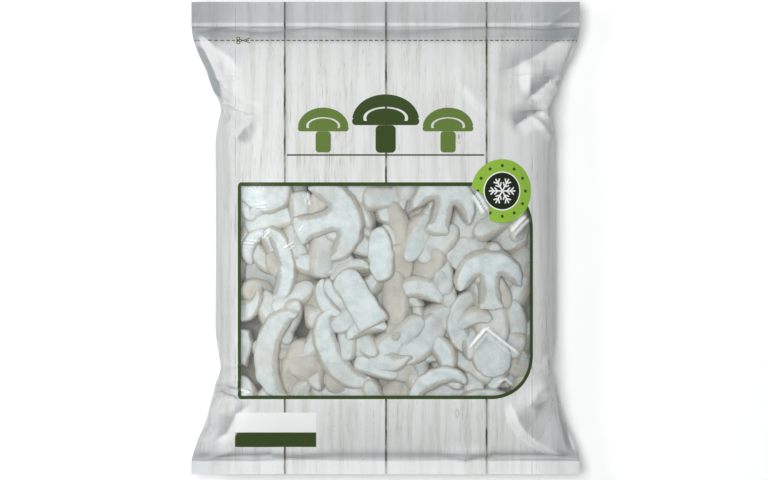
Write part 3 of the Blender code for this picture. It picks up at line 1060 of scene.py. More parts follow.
@dataclass
class Roof:
    """The height of the front film over a grid of square cells, seen from above."""

    low: np.ndarray
    height: np.ndarray
    cell: float = 2.0 * MM
    gap: float = 0.35 * MM
    softness: float = 1.2 * MM
    side_gap: float = 4.0 * MM

    @classmethod
    def under(cls, film: Film) -> "Roof":
        """Take the film's lowest point over each cell; a cell without any has the seals' height.

        Args:
            film: the film.

        Returns:
            The roof.
        """
        points = film.front_grid().reshape(-1, 3)
        low = points[:, :2].min(0) - cls.cell
        count = np.ceil((points[:, :2].max(0) + cls.cell - low) / cls.cell).astype(int) + 1
        height = np.full(count, np.inf)
        index = np.floor((points[:, :2] - low) / cls.cell).astype(int)
        np.minimum.at(height, (index[:, 0], index[:, 1]), points[:, 2])
        height[np.isinf(height)] = film.form.level
        return cls(low, height)

    def over(self, x: np.ndarray, y: np.ndarray) -> np.ndarray:
        """The film's height over places, between the four nearest cells' middles.

        Args:
            x, y: the places.

        Returns:
            The heights.
        """
        places = (np.stack([x, y], -1) - self.low) / self.cell - 0.5
        places = np.clip(places, 0, np.array(self.height.shape) - 1.001)
        whole = np.floor(places).astype(int)
        part = places - whole
        i, j = whole[..., 0], whole[..., 1]
        s, t = part[..., 0], part[..., 1]
        lower = self.height[i, j] * (1 - s) + self.height[i + 1, j] * s
        upper = self.height[i, j + 1] * (1 - s) + self.height[i + 1, j + 1] * s
        return lower * (1 - t) + upper * t

    def press(self, points: np.ndarray, form: PouchForm) -> np.ndarray:
        """Press points in under the film: a room r below the soft reach k becomes k e^(r/k - 1).

        Args:
            points: rows x, y, z.
            form: the bag's form, for its sides.

        Returns:
            The pressed points.
        """
        x, y, z = points.T
        limit = form.half_width(y) - self.side_gap
        x = np.clip(x, -limit, limit)
        roof = self.over(x, y) - self.gap
        room = roof - z
        soft = self.softness
        kept = np.where(room < soft, soft * np.exp(np.minimum(room, soft) / soft - 1), room)
        return np.stack([x, y, roof - kept], 1)

    def depth(self, points: np.ndarray) -> np.ndarray:
        """How far below the film each point lies."""
        return self.over(points[:, 0], points[:, 1]) - points[:, 2]


def sheet_mesh(name: str, grid: np.ndarray, flat: np.ndarray, slopes: dict[str, np.ndarray],
               keep: np.ndarray) -> bpy.types.Mesh:
    """Make a mesh of the kept faces of a grid, with its place on the flat film as a UV map.

    Args:
        name: the mesh's name.
        grid: points, rows by columns by 3.
        flat: each point's place on the print, rows by columns by 2.
        slopes: the slopes that the folds give each point, by name, each rows by columns.
        keep: which faces are kept, rows by columns less one each.

    Returns:
        The mesh, with only the points that its faces use.
    """
    rows, columns = grid.shape[:2]
    index = np.arange(rows * columns).reshape(rows, columns)
    faces = np.stack([index[:-1, :-1], index[:-1, 1:], index[1:, 1:], index[1:, :-1]], -1)[keep]
    used, faces = np.unique(faces, return_inverse=True)
    faces = faces.reshape(-1, 4)
    mesh = bpy.data.meshes.new(name)
    mesh.from_pydata(grid.reshape(-1, 3)[used], [], faces.tolist())
    flat = flat.reshape(-1, 2)[used]
    layer = mesh.uv_layers.new(name=PRINT_MAP)
    layer.uv.foreach_set("vector", flat[faces.ravel()].astype(np.float32).ravel())
    for kind, slope in slopes.items():
        set_value(mesh, kind, slope.ravel()[used])
    mesh.shade_smooth()
    return mesh


@dataclass(frozen=True)
class BoardPrint:
    """The printed boards: whitewashed wood with dark joints, streaks and small knots."""

    white: Colour = shade(234, 236, 236)
    grey: Colour = shade(214, 215, 210)
    streak: Colour = shade(158, 155, 136)
    joint: Colour = shade(70, 66, 56)
    joints: tuple[float, ...] = (-63.4 * MM, 0.2 * MM, 63.4 * MM)
    faint_joints: tuple[float, ...] = (-97.5 * MM, 94.5 * MM)

    def paint(self, graph: Graph, x: Wire, y: Wire) -> Wire:
        """The boards' colour at a place on the flat film.

        Args:
            graph: the material's nodes.
            x, y: the place across and along the film.

        Returns:
            The colour.
        """
        wander = graph.noise(graph.vector(x * 0.4, y * 0.25), 60.0, 2.0) - 0.5
        x_bent = x + wander * (1.6 * MM)
        fine = graph.noise(graph.vector(x_bent, y * 0.045), 1500.0, 4.0, 0.65)
        broad = graph.noise(graph.vector(x_bent, y * 0.06), 170.0, 3.0, 0.6)
        cloud = graph.noise(graph.vector(x, y * 0.35), 26.0, 3.0)
        colour = graph.mix(graph.ramp(broad, 0.38, 0.70) * 0.8, self.white, self.grey)
        worn = graph.ramp(fine, 0.52, 0.70) * graph.ramp(broad * 0.6 + cloud, 0.72, 0.98)
        colour = graph.mix(worn * 0.8, colour, self.streak)
        hair = graph.noise(graph.vector(x_bent + 0.7, y * 0.10), 1100.0, 3.0, 0.6)
        colour = graph.mix(graph.ramp(hair, 0.63, 0.76) * 0.7, colour, self.streak)
        colour = self.knots(graph, x, y, colour)
        fade = graph.noise(graph.vector(x * 0.2, y), 45.0, 3.0)
        wobble = (graph.noise(graph.vector(x * 0.1, y), 160.0, 3.0) - 0.5) * (0.5 * MM)
        for at in self.joints:
            far = x + wobble - at
            shadow = graph.ramp(far, 3.2 * MM, 0.2 * MM) * graph.ramp(far, -0.6 * MM, 0.3 * MM)
            colour = graph.mix(shadow * 0.35, colour, self.streak)
            line = graph.ramp(graph.size(far), 0.85 * MM, 0.4 * MM)
            colour = graph.mix(line * (0.45 + graph.ramp(fade, 0.35, 0.6) * 0.55), colour, self.joint)
        for at in self.faint_joints:
            line = graph.ramp(graph.size(x + wobble - at), 0.5 * MM, 0.15 * MM)
            colour = graph.mix(line * graph.ramp(fade, 0.4, 0.6) * 0.45, colour, self.joint)
        return colour

    def knots(self, graph: Graph, x: Wire, y: Wire, colour: Wire) -> Wire:
        """Small dark knots and pin holes, drawn out along the boards.

        Args:
            graph: the material's nodes.
            x, y: the place across and along the flat film.
            colour: the colour below.

        Returns:
            The colour with the knots on it.
        """
        cells = graph.node("ShaderNodeTexVoronoi")
        graph.feed(cells.inputs["Vector"], graph.vector(x, y * 0.42))
        graph.feed(cells.inputs["Scale"], 42.0)
        far = Wire(graph, cells.outputs["Distance"])
        pick, _, _ = graph.parts(Wire(graph, cells.outputs["Color"]))
        knot = graph.ramp(far, 0.055, 0.02) * graph.ramp(pick, 0.62, 0.7)
        ring = graph.ramp(graph.size(far - 0.075), 0.02, 0.0) * graph.ramp(pick, 0.8, 0.86) * 0.5
        return graph.mix(graph.upper(knot, ring) * 0.7, colour, self.streak)


@dataclass(frozen=True)
class LabelPrint:
    """The printed marks over the boards: window border, badge, tear line, panel and pictures."""

    dark_green: Colour = shade(60, 78, 37)
    mid_green: Colour = shade(104, 128, 62)
    light_green: Colour = shade(150, 194, 70)
    nearly_black: Colour = shade(34, 42, 26)
    olive: Colour = shade(98, 106, 72)
    white: Colour = shade(251, 252, 252)
    shadow: Colour = shade(138, 144, 146)
    soft: float = 0.16 * MM
    border: float = 2.4 * MM
    window_left: float = -92.0 * MM
    window_right: float = 91.8 * MM
    window_top: float = 33.0 * MM
    window_bottom: float = -100.3 * MM
    window_corner: float = 26.8 * MM
    tight_corner: float = 0.4 * MM
    badge: tuple[float, float] = (74.3 * MM, 29.9 * MM)
    badge_radius: float = 20.0 * MM
    open_left: float = 8.4 * MM
    open_below: float = 11.8 * MM
    open_slope: float = 0.726
    disc_radius: float = 11.5 * MM
    rim_radius: float = 11.9 * MM
    rim_half: float = 0.35 * MM
    disc_whole: float = 12.2 * MM
    dot_count: int = 12
    dot_ring: float = 15.9 * MM
    dot_radius: float = 1.0 * MM
    arm: Stroke = ((0.6 * MM, 0.0), (8.4 * MM, 0.0))
    inner_branch: Stroke = ((3.0 * MM, 0.0), (4.9 * MM, 1.9 * MM))
    outer_branch: Stroke = ((5.4 * MM, 0.0), (7.4 * MM, 2.0 * MM))
    arm_half: float = 0.42 * MM
    tear_y: float = 125.7 * MM
    tear_half: float = 0.5 * MM
    dash_pitch: float = 3.45 * MM
    dash: float = 2.3 * MM
    scissors_x: float = -91.0 * MM
    handle: tuple[float, float] = (-3.2 * MM, 1.7 * MM)
    handle_radius: float = 1.2 * MM
    shank: Stroke = ((-2.2 * MM, 1.1 * MM), (0.4 * MM, 0.0))
    blade: Stroke = ((0.4 * MM, 0.0), (5.0 * MM, 1.9 * MM))
    scissors_half: float = 0.34 * MM
    panel_left: float = -95.7 * MM
    panel_right: float = -44.1 * MM
    panel_top: float = -111.1 * MM
    panel_middle: float = -123.7 * MM
    panel_bottom: float = -133.0 * MM
    panel_corner: float = 0.3 * MM
    ground_y: float = 55.0 * MM
    ground_below: float = 2.2 * MM
    ground_half: tuple[float, float] = (62.0 * MM, 0.5 * MM)
    beside: float = 39.0 * MM
    small_cap: float = 16.0 * MM
    large_cap: float = 21.0 * MM


@dataclass
class PrintShop:
    """Lays the printed marks out on a film, and paints them in a material."""

    film: Film
    marks: LabelPrint
    boards: BoardPrint

    def __post_init__(self) -> None:
        """Find where each mark lies on the flat film."""
        marks, film = self.marks, self.film
        middle = (marks.window_left + marks.window_right) / 2
        centre = (marks.window_top + marks.window_bottom) / 2
        left = film.locate(marks.window_left, centre)[0]
        right = film.locate(marks.window_right, centre)[0]
        top = film.locate(middle, marks.window_top)[1]
        bottom = film.locate(middle, marks.window_bottom)[1]
        self.window = (left, right, bottom, top)
        self.badge = film.locate(*marks.badge)
        self.tear = film.locate(0.0, marks.tear_y)[1]

    def window_edge(self, graph: Graph, x: Wire, y: Wire) -> Wire:
        """How far outside the window a place lies: square corners on its left, round on its right.

        Args:
            graph: the material's nodes.
            x, y: the place across and along the flat film.

        Returns:
            The distance, below 0 inside.
        """
        left, right, bottom, top = self.window
        across, along = x - (left + right) / 2, y - (bottom + top) / 2
        tight = self.marks.tight_corner
        radius = graph.ramp(across, -1 * MM, 1 * MM) * (self.marks.window_corner - tight) + tight
        return graph.box(across, along, (right - left) / 2, (top - bottom) / 2, radius)

    def filled(self, graph: Graph, far: Wire, edge: float = 0.0) -> Wire:
        """1 where a distance is below an edge, with a printed line's slight softness."""
        return graph.ramp(far, edge + self.marks.soft, edge - self.marks.soft)

    def paint(self, graph: Graph, x: Wire, y: Wire) -> tuple[Wire, Wire]:
        """The whole front print, with painted shade and highlights by the seals and at the sides.

        Args:
            graph: the material's nodes.
            x, y: the place across and along the flat film.

        Returns:
            The print's colour, and how much of the film is printed, 0 in the clear window.
        """
        marks = self.marks
        colour = self.painted_seal_light_and_shade(graph, x, y, self.boards.paint(graph, x, y))
        colour = self.tear_line(graph, x, y, colour)
        colour = self.pictures(graph, x, y, colour)
        colour = self.panel(graph, x, y, colour)
        outside = self.window_edge(graph, x, y)
        colour = graph.mix(self.filled(graph, outside, marks.border), colour, marks.dark_green)
        across, along = x - self.badge[0], y - self.badge[1]
        far = graph.reach(across, along)
        sloped = (along + marks.open_below + across * marks.open_slope) * 0.81
        open_side = graph.upper(across + marks.open_left, sloped)
        ring = graph.lower(marks.badge_radius - far, open_side)
        disc = self.filled(graph, far, marks.disc_whole)
        on_badge = graph.upper(self.filled(graph, ring * -1.0), disc)
        colour = graph.mix(on_badge, colour, self.badge_face(graph, across, along, far))
        clear = self.filled(graph, outside) * (1.0 - on_badge)
        return colour, 1.0 - clear

    def painted_seal_light_and_shade(self, graph: Graph, x: Wire, y: Wire, colour: Wire) -> Wire:
        """Painted shade beside both seals, on the top seal and at the sides, and painted highlights on the seals.

        Args:
            graph: the material's nodes.
            x, y: the place across and along the flat film.
            colour: the colour below.

        Returns:
            The colour with the bands on it.
        """
        marks, form, end = self.marks, self.film.form, self.film.flat_length / 2
        top, bottom = end - form.top_seal, form.bottom_seal - end
        cloud = 0.7 + graph.noise(graph.vector(x, y), 30.0, 2.0) * 0.6
        # Painted shade on the top seal, lifted by a painted highlight line (pale) along its lower edge.
        in_seal = graph.ramp(y, top - 0.3 * MM, top + 0.3 * MM)
        pale = graph.ramp(graph.size(y - top - 1.6 * MM), 1.6 * MM, 0.4 * MM)
        # Painted shade: grey bands where the film slopes away below the top seal and above the bottom one.
        below_top = graph.ramp(y, top - 19 * MM, top - 10 * MM) * (1.0 - in_seal)
        above_bottom = graph.ramp(y, bottom + 15 * MM, bottom + 5 * MM)
        above_bottom = above_bottom * graph.ramp(y, bottom, bottom + 0.5 * MM)
        # Painted shade towards both sides of the bag.
        sides = graph.ramp(graph.size(x), 94 * MM, 112 * MM) * 0.22
        grey = in_seal * (0.48 - pale * 0.36) + (below_top * 0.52 + above_bottom * 0.34) + sides
        colour = graph.mix(grey * cloud, colour, marks.shadow)
        # Painted highlight: the bottom seal is whitened.
        return graph.mix(graph.ramp(y, bottom + 0.3 * MM, bottom - 0.3 * MM) * 0.25, colour, marks.white)

    def badge_face(self, graph: Graph, x: Wire, y: Wire, far: Wire) -> Wire:
        """A round badge: a green ring of dots round a dark disc with a six-armed snow crystal.

        Args:
            graph: the material's nodes.
            x, y: the place, from the badge's middle.
            far: how far that is.

        Returns:
            The badge's colour.
        """
        marks = self.marks
        turn = graph.math("ARCTAN2", y, x)
        sector = math.pi / 3
        folded = graph.size(graph.math("PINGPONG", turn + math.pi + sector / 2, sector / 2))
        along = far * graph.math("COSINE", folded - sector / 2)
        beside = graph.size(far * graph.math("SINE", folded - sector / 2))
        arm = graph.stroke(along, beside, *marks.arm)
        inner = graph.stroke(along, beside, *marks.inner_branch)
        outer = graph.stroke(along, beside, *marks.outer_branch)
        crystal = self.filled(graph, graph.lower(arm, graph.lower(inner, outer)), marks.arm_half)
        disc = self.filled(graph, far, marks.disc_radius)
        rim = self.filled(graph, graph.size(far - marks.rim_radius), marks.rim_half)
        dot_sector = math.pi / marks.dot_count
        dot_turn = graph.math("PINGPONG", turn + math.pi, dot_sector)
        dot_x = far * graph.math("COSINE", dot_turn) - marks.dot_ring
        dot_y = far * graph.math("SINE", dot_turn)
        dots = self.filled(graph, graph.reach(dot_x, dot_y), marks.dot_radius)
        colour = graph.mix(dots, marks.light_green, marks.dark_green)
        colour = graph.mix(disc, colour, marks.nearly_black)
        return graph.mix(graph.upper(rim, crystal), colour, marks.white)

    def tear_line(self, graph: Graph, x: Wire, y: Wire, colour: Wire) -> Wire:
        """A dashed line across the top, with a small pair of scissors on it.

        Args:
            graph: the material's nodes.
            x, y: the place across and along the flat film.
            colour: the colour below.

        Returns:
            The colour with the line on it.
        """
        marks = self.marks
        pitch, dash = marks.dash_pitch, marks.dash
        phase = graph.math("FRACT", x / pitch + 50.0) * pitch
        dashes = self.filled(graph, graph.size(phase - dash / 2), dash / 2)
        line = dashes * self.filled(graph, graph.size(y - self.tear), marks.tear_half)
        colour = graph.mix(line, colour, marks.olive)
        left, height = self.film.locate(marks.scissors_x, marks.tear_y)
        x, y = x - left, graph.size(y - height)
        ring = graph.size(graph.reach(x - marks.handle[0], y - marks.handle[1]) - marks.handle_radius)
        shank, blade = graph.stroke(x, y, *marks.shank), graph.stroke(x, y, *marks.blade)
        far = graph.lower(ring, graph.lower(shank, blade))
        return graph.mix(self.filled(graph, far, marks.scissors_half), colour, marks.dark_green)

    def panel(self, graph: Graph, x: Wire, y: Wire, colour: Wire) -> Wire:
        """A blank white panel over a green band, below the window on the left.

        Args:
            graph: the material's nodes.
            x, y: the place across and along the flat film.
            colour: the colour below.

        Returns:
            The colour with the panel on it.
        """
        marks = self.marks
        left, top = self.film.locate(marks.panel_left, marks.panel_top)
        right, middle = self.film.locate(marks.panel_right, marks.panel_middle)
        bottom = self.film.locate(-70.0 * MM, marks.panel_bottom)[1]
        for low, high, fill in ((middle, top, marks.white), (bottom, middle, marks.dark_green)):
            far = graph.box(x - (left + right) / 2, y - (low + high) / 2,
                            (right - left) / 2, (high - low) / 2, marks.panel_corner)
            colour = graph.mix(self.filled(graph, far), colour, fill)
        return colour

    def pictures(self, graph: Graph, x: Wire, y: Wire, colour: Wire) -> Wire:
        """Three cut mushrooms in a row on a thin ground line, in the greens of the border.

        Args:
            graph: the material's nodes.
            x, y: the place across and along the flat film.
            colour: the colour below.

        Returns:
            The colour with the pictures on it.
        """
        marks = self.marks
        ground = self.film.locate(0.0, marks.ground_y)[1]
        row = ((-marks.beside, marks.small_cap, marks.mid_green), (0.0, marks.large_cap, marks.dark_green),
               (marks.beside, marks.small_cap, marks.mid_green))
        for at, size, fill in row:
            far = self.mushroom(graph, (x - at) / size, (y - ground) / size)
            colour = graph.mix(self.filled(graph, far * size), colour, fill)
        line = graph.box(x, y - ground + marks.ground_below, *marks.ground_half, 0.3 * MM)
        return graph.mix(self.filled(graph, line), colour, marks.dark_green)

    def mushroom(self, graph: Graph, x: Wire, y: Wire) -> Wire:
        """A cut mushroom's outline, of height 1.9: how far a place lies outside it.

        Args:
            graph: the material's nodes.
            x, y: the place, from the foot of the stem.

        Returns:
            The distance, below 0 inside.
        """
        dome = graph.reach(x, (y - 0.92) * 1.18) - 1.0
        cap = graph.upper(dome, 0.92 - y + graph.size(x) * 0.10)
        lip = graph.box(x, y - 0.92, 1.0, 0.12, 0.12)
        stem = graph.box(x, y - 0.38, 0.30, 0.42, 0.14)
        gills = graph.size(graph.reach(x, (y - 1.02) * 1.9) - 0.62)
        body = graph.lower(graph.lower(cap, lip), stem)
        return graph.upper(body, 0.045 - graph.upper(gills, 0.98 - y))


class Layer(Enum):
    """Which part of the film a material is for."""

    FRONT = "front"
    WINDOW = "window"
    BACK = "back"


@dataclass(frozen=True)
class FilmFinish:
    """The film's gloss, the thin milky look of its clear part, and painted highlights, shade and glints at its folds.
    """

    roughness: float = 0.30
    specular: float = 0.32
    haze: float = 0.06
    glow: float = 0.22
    haze_colour: Colour = shade(236, 242, 244)
    painted_highlight: Colour = shade(250, 251, 251)
    painted_fold_shade: Colour = shade(140, 146, 149)
    clear_tint: Colour = (0.985, 0.99, 0.99)
    print_relief: float = 0.45 * MM
    window_relief: float = 0.65 * MM
    fold_from: float = 0.05
    fold_to: float = 0.40
    painted_fold_light_share: float = 0.7
    glint_from: float = 0.20
    glint_to: float = 0.46
    glint_share: float = 0.88
    gloss_roughness: float = 0.12
    refraction: float = 1.5

    def relief(self, graph: Graph, depth: float) -> Wire:
        """Waviness of the film: broad and soft, with finer crinkles.

        Args:
            graph: the material's nodes.
            depth: its depth in metres.

        Returns:
            The normal.
        """
        place = graph.place()
        crinkle = graph.size(graph.noise(place, 95.0, 2.0) - 0.5)
        return graph.bump(graph.noise(place, 48.0, 2.0) - crinkle * 0.5, depth)

    def folded(self, graph: Graph, colour: Wire) -> Wire:
        """Painted light from the folds: painted highlight facing the upper left, painted shade facing away.

        Args:
            graph: the material's nodes.
            colour: the print's colour.

        Returns:
            The colour with the folds on it.
        """
        turn = graph.value("turn")
        facing = graph.ramp(turn, self.fold_from, self.fold_to) * self.painted_fold_light_share
        away = graph.ramp(turn, -self.fold_from, -self.fold_to) * self.painted_fold_light_share
        return graph.mix(away, graph.mix(facing, colour, self.painted_highlight), self.painted_fold_shade)

    def make(self, layer: Layer, shop: PrintShop) -> bpy.types.Material:
        """Make the material of one part of the film.

        Args:
            layer: the part.
            shop: the print's layout.

        Returns:
            The material.
        """
        graph = Graph(f"film_{layer.value}")
        x, y = graph.print_place()
        relief = self.relief(graph, self.window_relief if layer is Layer.WINDOW else self.print_relief)
        if layer is Layer.BACK:
            colour, printed = shop.boards.paint(graph, x, y), None
        else:
            colour, printed = shop.paint(graph, x, y)
            # Painted highlight and shade from the folds' slope towards the light.
            colour = self.folded(graph, colour)
        opaque = graph.shader("ShaderNodeBsdfPrincipled", Base_Color=colour, Roughness=self.roughness,
                              Specular_IOR_Level=self.specular, Normal=relief)
        lit = graph.shader("ShaderNodeBsdfTranslucent", Color=colour)
        opaque = graph.blend(self.glow, opaque, lit)
        if printed is None:
            return graph.finish(opaque)
        haze = graph.shader("ShaderNodeBsdfDiffuse", Color=self.haze_colour)
        through = graph.shader("ShaderNodeBsdfTransparent", Color=self.clear_tint)
        gloss = graph.shader("ShaderNodeBsdfGlossy", Roughness=self.gloss_roughness, Normal=relief)
        fresnel = graph.node("ShaderNodeFresnel")
        graph.feed(fresnel.inputs["IOR"], self.refraction)
        graph.feed(fresnel.inputs["Normal"], relief)
        # Painted glints: a white diffuse share where the clear film's folds are steep.
        glint = graph.shader("ShaderNodeBsdfDiffuse", Color=self.painted_highlight)
        milky = graph.blend(self.haze, through, haze)
        steep = graph.ramp(graph.value("steep"), self.glint_from, self.glint_to) * self.glint_share
        milky = graph.blend(steep, milky, glint)
        clear = graph.blend(Wire(graph, fresnel.outputs[0]), milky, gloss)
        return graph.finish(graph.blend(printed, clear, opaque))


@dataclass(frozen=True)
class FrozenFlesh:
    """Frozen mushroom flesh: pale and cool where cut, warmer on the skin and beside the gills, with painted shade
    deeper below the film.
    """

    frost: Colour = shade(250, 252, 252)
    cut: Colour = shade(232, 240, 241)
    mottle: Colour = shade(210, 221, 223)
    skin: Colour = shade(214, 211, 201)
    warm: Colour = shade(196, 193, 181)
    gill: Colour = shade(170, 166, 154)
    deep: Colour = shade(124, 119, 107)
    shadow_from: float = 6.0 * MM
    shadow_to: float = 20.0 * MM
    grain_depth: float = 0.7 * MM
    roughness: float = 0.40

    def make(self) -> bpy.types.Material:
        """Make the material.

        It reads four stored values: cut, 1 on cut faces and 0 on the skin; gill, 1 beside the
        hollow side of a cap; tone, the slice's own shade from 0 to 1; and depth below the film,
        which paints shade: the flesh darkens towards the deep colour from 6 to 20 mm down.

        Returns:
            The material.
        """
        graph = Graph("frozen_flesh")
        place = graph.place()
        cloud = graph.noise(place, 130.0, 4.0)
        cut = graph.mix(graph.ramp(cloud, 0.36, 0.68), self.cut, self.mottle)
        bruise = graph.ramp(graph.noise(place, 55.0, 2.0), 0.52, 0.72) * 0.5
        cut = graph.mix(bruise, cut, self.skin)
        frost = graph.ramp(graph.noise(place, 620.0, 2.0), 0.62, 0.74) * graph.ramp(cloud, 0.42, 0.62)
        cut = graph.mix(frost * 0.7, cut, self.frost)
        gilled = graph.value("gill") + (graph.noise(place, 420.0, 2.0) - 0.5) * 0.7
        cut = graph.mix(graph.ramp(gilled, 0.35, 0.95) * 0.75, cut, self.gill)
        patch = graph.noise(place, 80.0, 3.0)
        skin = graph.mix(graph.ramp(patch, 0.38, 0.68), self.skin, self.warm)
        skin = graph.mix(graph.ramp(gilled, 0.25, 0.8) * 0.8, skin, self.gill)
        colour = graph.mix(graph.ramp(graph.value("cut"), 0.1, 0.9), skin, cut)
        colour = graph.mix(graph.value("tone") * 0.26, colour, self.warm)
        # Painted shade: the flesh darkens with its depth below the film.
        deep = graph.ramp(graph.value("depth"), self.shadow_from, self.shadow_to) * 0.85
        colour = graph.mix(deep, colour, self.deep)
        grain = graph.noise(place, 900.0, 3.0) * 0.6 + graph.noise(place, 240.0, 3.0)
        return graph.finish(graph.shader(
            "ShaderNodeBsdfPrincipled", Base_Color=colour, Roughness=self.roughness,
            Subsurface_Weight=0.22, Subsurface_Radius=(0.005, 0.0045, 0.004), Subsurface_Scale=1.0,
            Normal=graph.bump(grain, self.grain_depth)))


class Cut(Enum):
    """How a mushroom was sliced: which outline the slice has."""

    CRESCENT = "crescent"
    OVAL = "oval"
    STEM = "stem"
    DOME = "dome"


@dataclass
class LooseSlice:
    """A slice below the top layer: a flat round-edged section carried along a straight or bent line."""

    cut: Cut
    length: float
    width: float
    thickness: float
    stations: int = 28
    around: int = 24

    def outline(self, share: np.ndarray) -> tuple[np.ndarray, np.ndarray, np.ndarray]:
        """The middle line and the half width at each share of the slice's length.

        A crescent's middle line is an arc and its ends taper as sin^0.5; an oval is an ellipse; a
        stem is blunt and wider at one end; a dome is half an ellipse.

        Args:
            share: places from 0 to 1 along the slice.

        Returns:
            The middle line's x and y, and the half widths.
        """
        bend = 1.9 if self.cut is Cut.CRESCENT else 0.0
        angle = bend * (share - 0.5)
        radius = self.length / max(bend, 1e-3)
        x = radius * np.sin(angle) if bend else self.length * (share - 0.5)
        y = radius * (np.cos(angle) - 1) if bend else 0 * share
        centred = 2 * share - 1
        shapes = {
            Cut.CRESCENT: np.sin(np.pi * share) ** 0.5,
            Cut.OVAL: np.sqrt(np.clip(1 - centred ** 2, 0, 1)),
            Cut.STEM: (1 - np.abs(centred) ** 7) ** 0.5 * (0.85 + 0.25 * centred ** 2 * np.sign(centred)),
            Cut.DOME: np.clip(1 - centred ** 2, 0, 1) ** 0.42,
        }
        return x, y, self.width / 2 * shapes[self.cut]

    def points(self, draw: np.random.Generator) -> tuple[np.ndarray, np.ndarray, np.ndarray]:
        """The slice's surface, stations by points around, and how cut and how gilled it is.

        The section at each station is a superellipse: across by |cos|^0.6, up by |sin|^0.4, thinned
        at both ends, flared towards its lower side, with a little random relief. The faces where
        |sin|^0.4 nears 1 are cut; a crescent's inner side has the gills.

        Args:
            draw: the random draw for the relief.

        Returns:
            The points, stations by around by 3, and the two values for each point.
        """
        share = 0.5 - 0.5 * np.cos(np.linspace(0, np.pi, self.stations))
        x, y, half = self.outline(share)
        turn = np.linspace(0, 2 * np.pi, self.around, endpoint=False) + 0.12
        across = np.sign(np.cos(turn)) * np.abs(np.cos(turn)) ** 0.6
        up = np.sign(np.sin(turn)) * np.abs(np.sin(turn)) ** 0.4
        ends = np.clip(1 - np.abs(2 * share - 1) ** 9, 0, 1) ** 0.5
        heading = np.arctan2(np.gradient(y), np.gradient(x))
        flare = across * (1 - 0.16 * up)
        grid = np.empty((self.stations, self.around, 3))
        grid[..., 0] = x[:, None] - np.sin(heading)[:, None] * half[:, None] * flare[None]
        grid[..., 1] = y[:, None] + np.cos(heading)[:, None] * half[:, None] * flare[None]
        grid[..., 2] = self.thickness / 2 * ends[:, None] * up[None]
        flat = grid.reshape(-1, 3)
        relief = waves(flat, 9 * MM, int(draw.integers(1, 10 ** 6)))
        flat[:, 2] += 0.35 * MM * relief * np.repeat(ends, self.around)
        cut = ease((np.abs(up) - 0.86) / 0.1) * ends[:, None] * (self.cut is not Cut.DOME)
        gill = ease((-across - 0.2) / 0.5)[None] * (0.9 if self.cut is Cut.CRESCENT else 0.15) + 0 * cut
        return grid, cut, gill


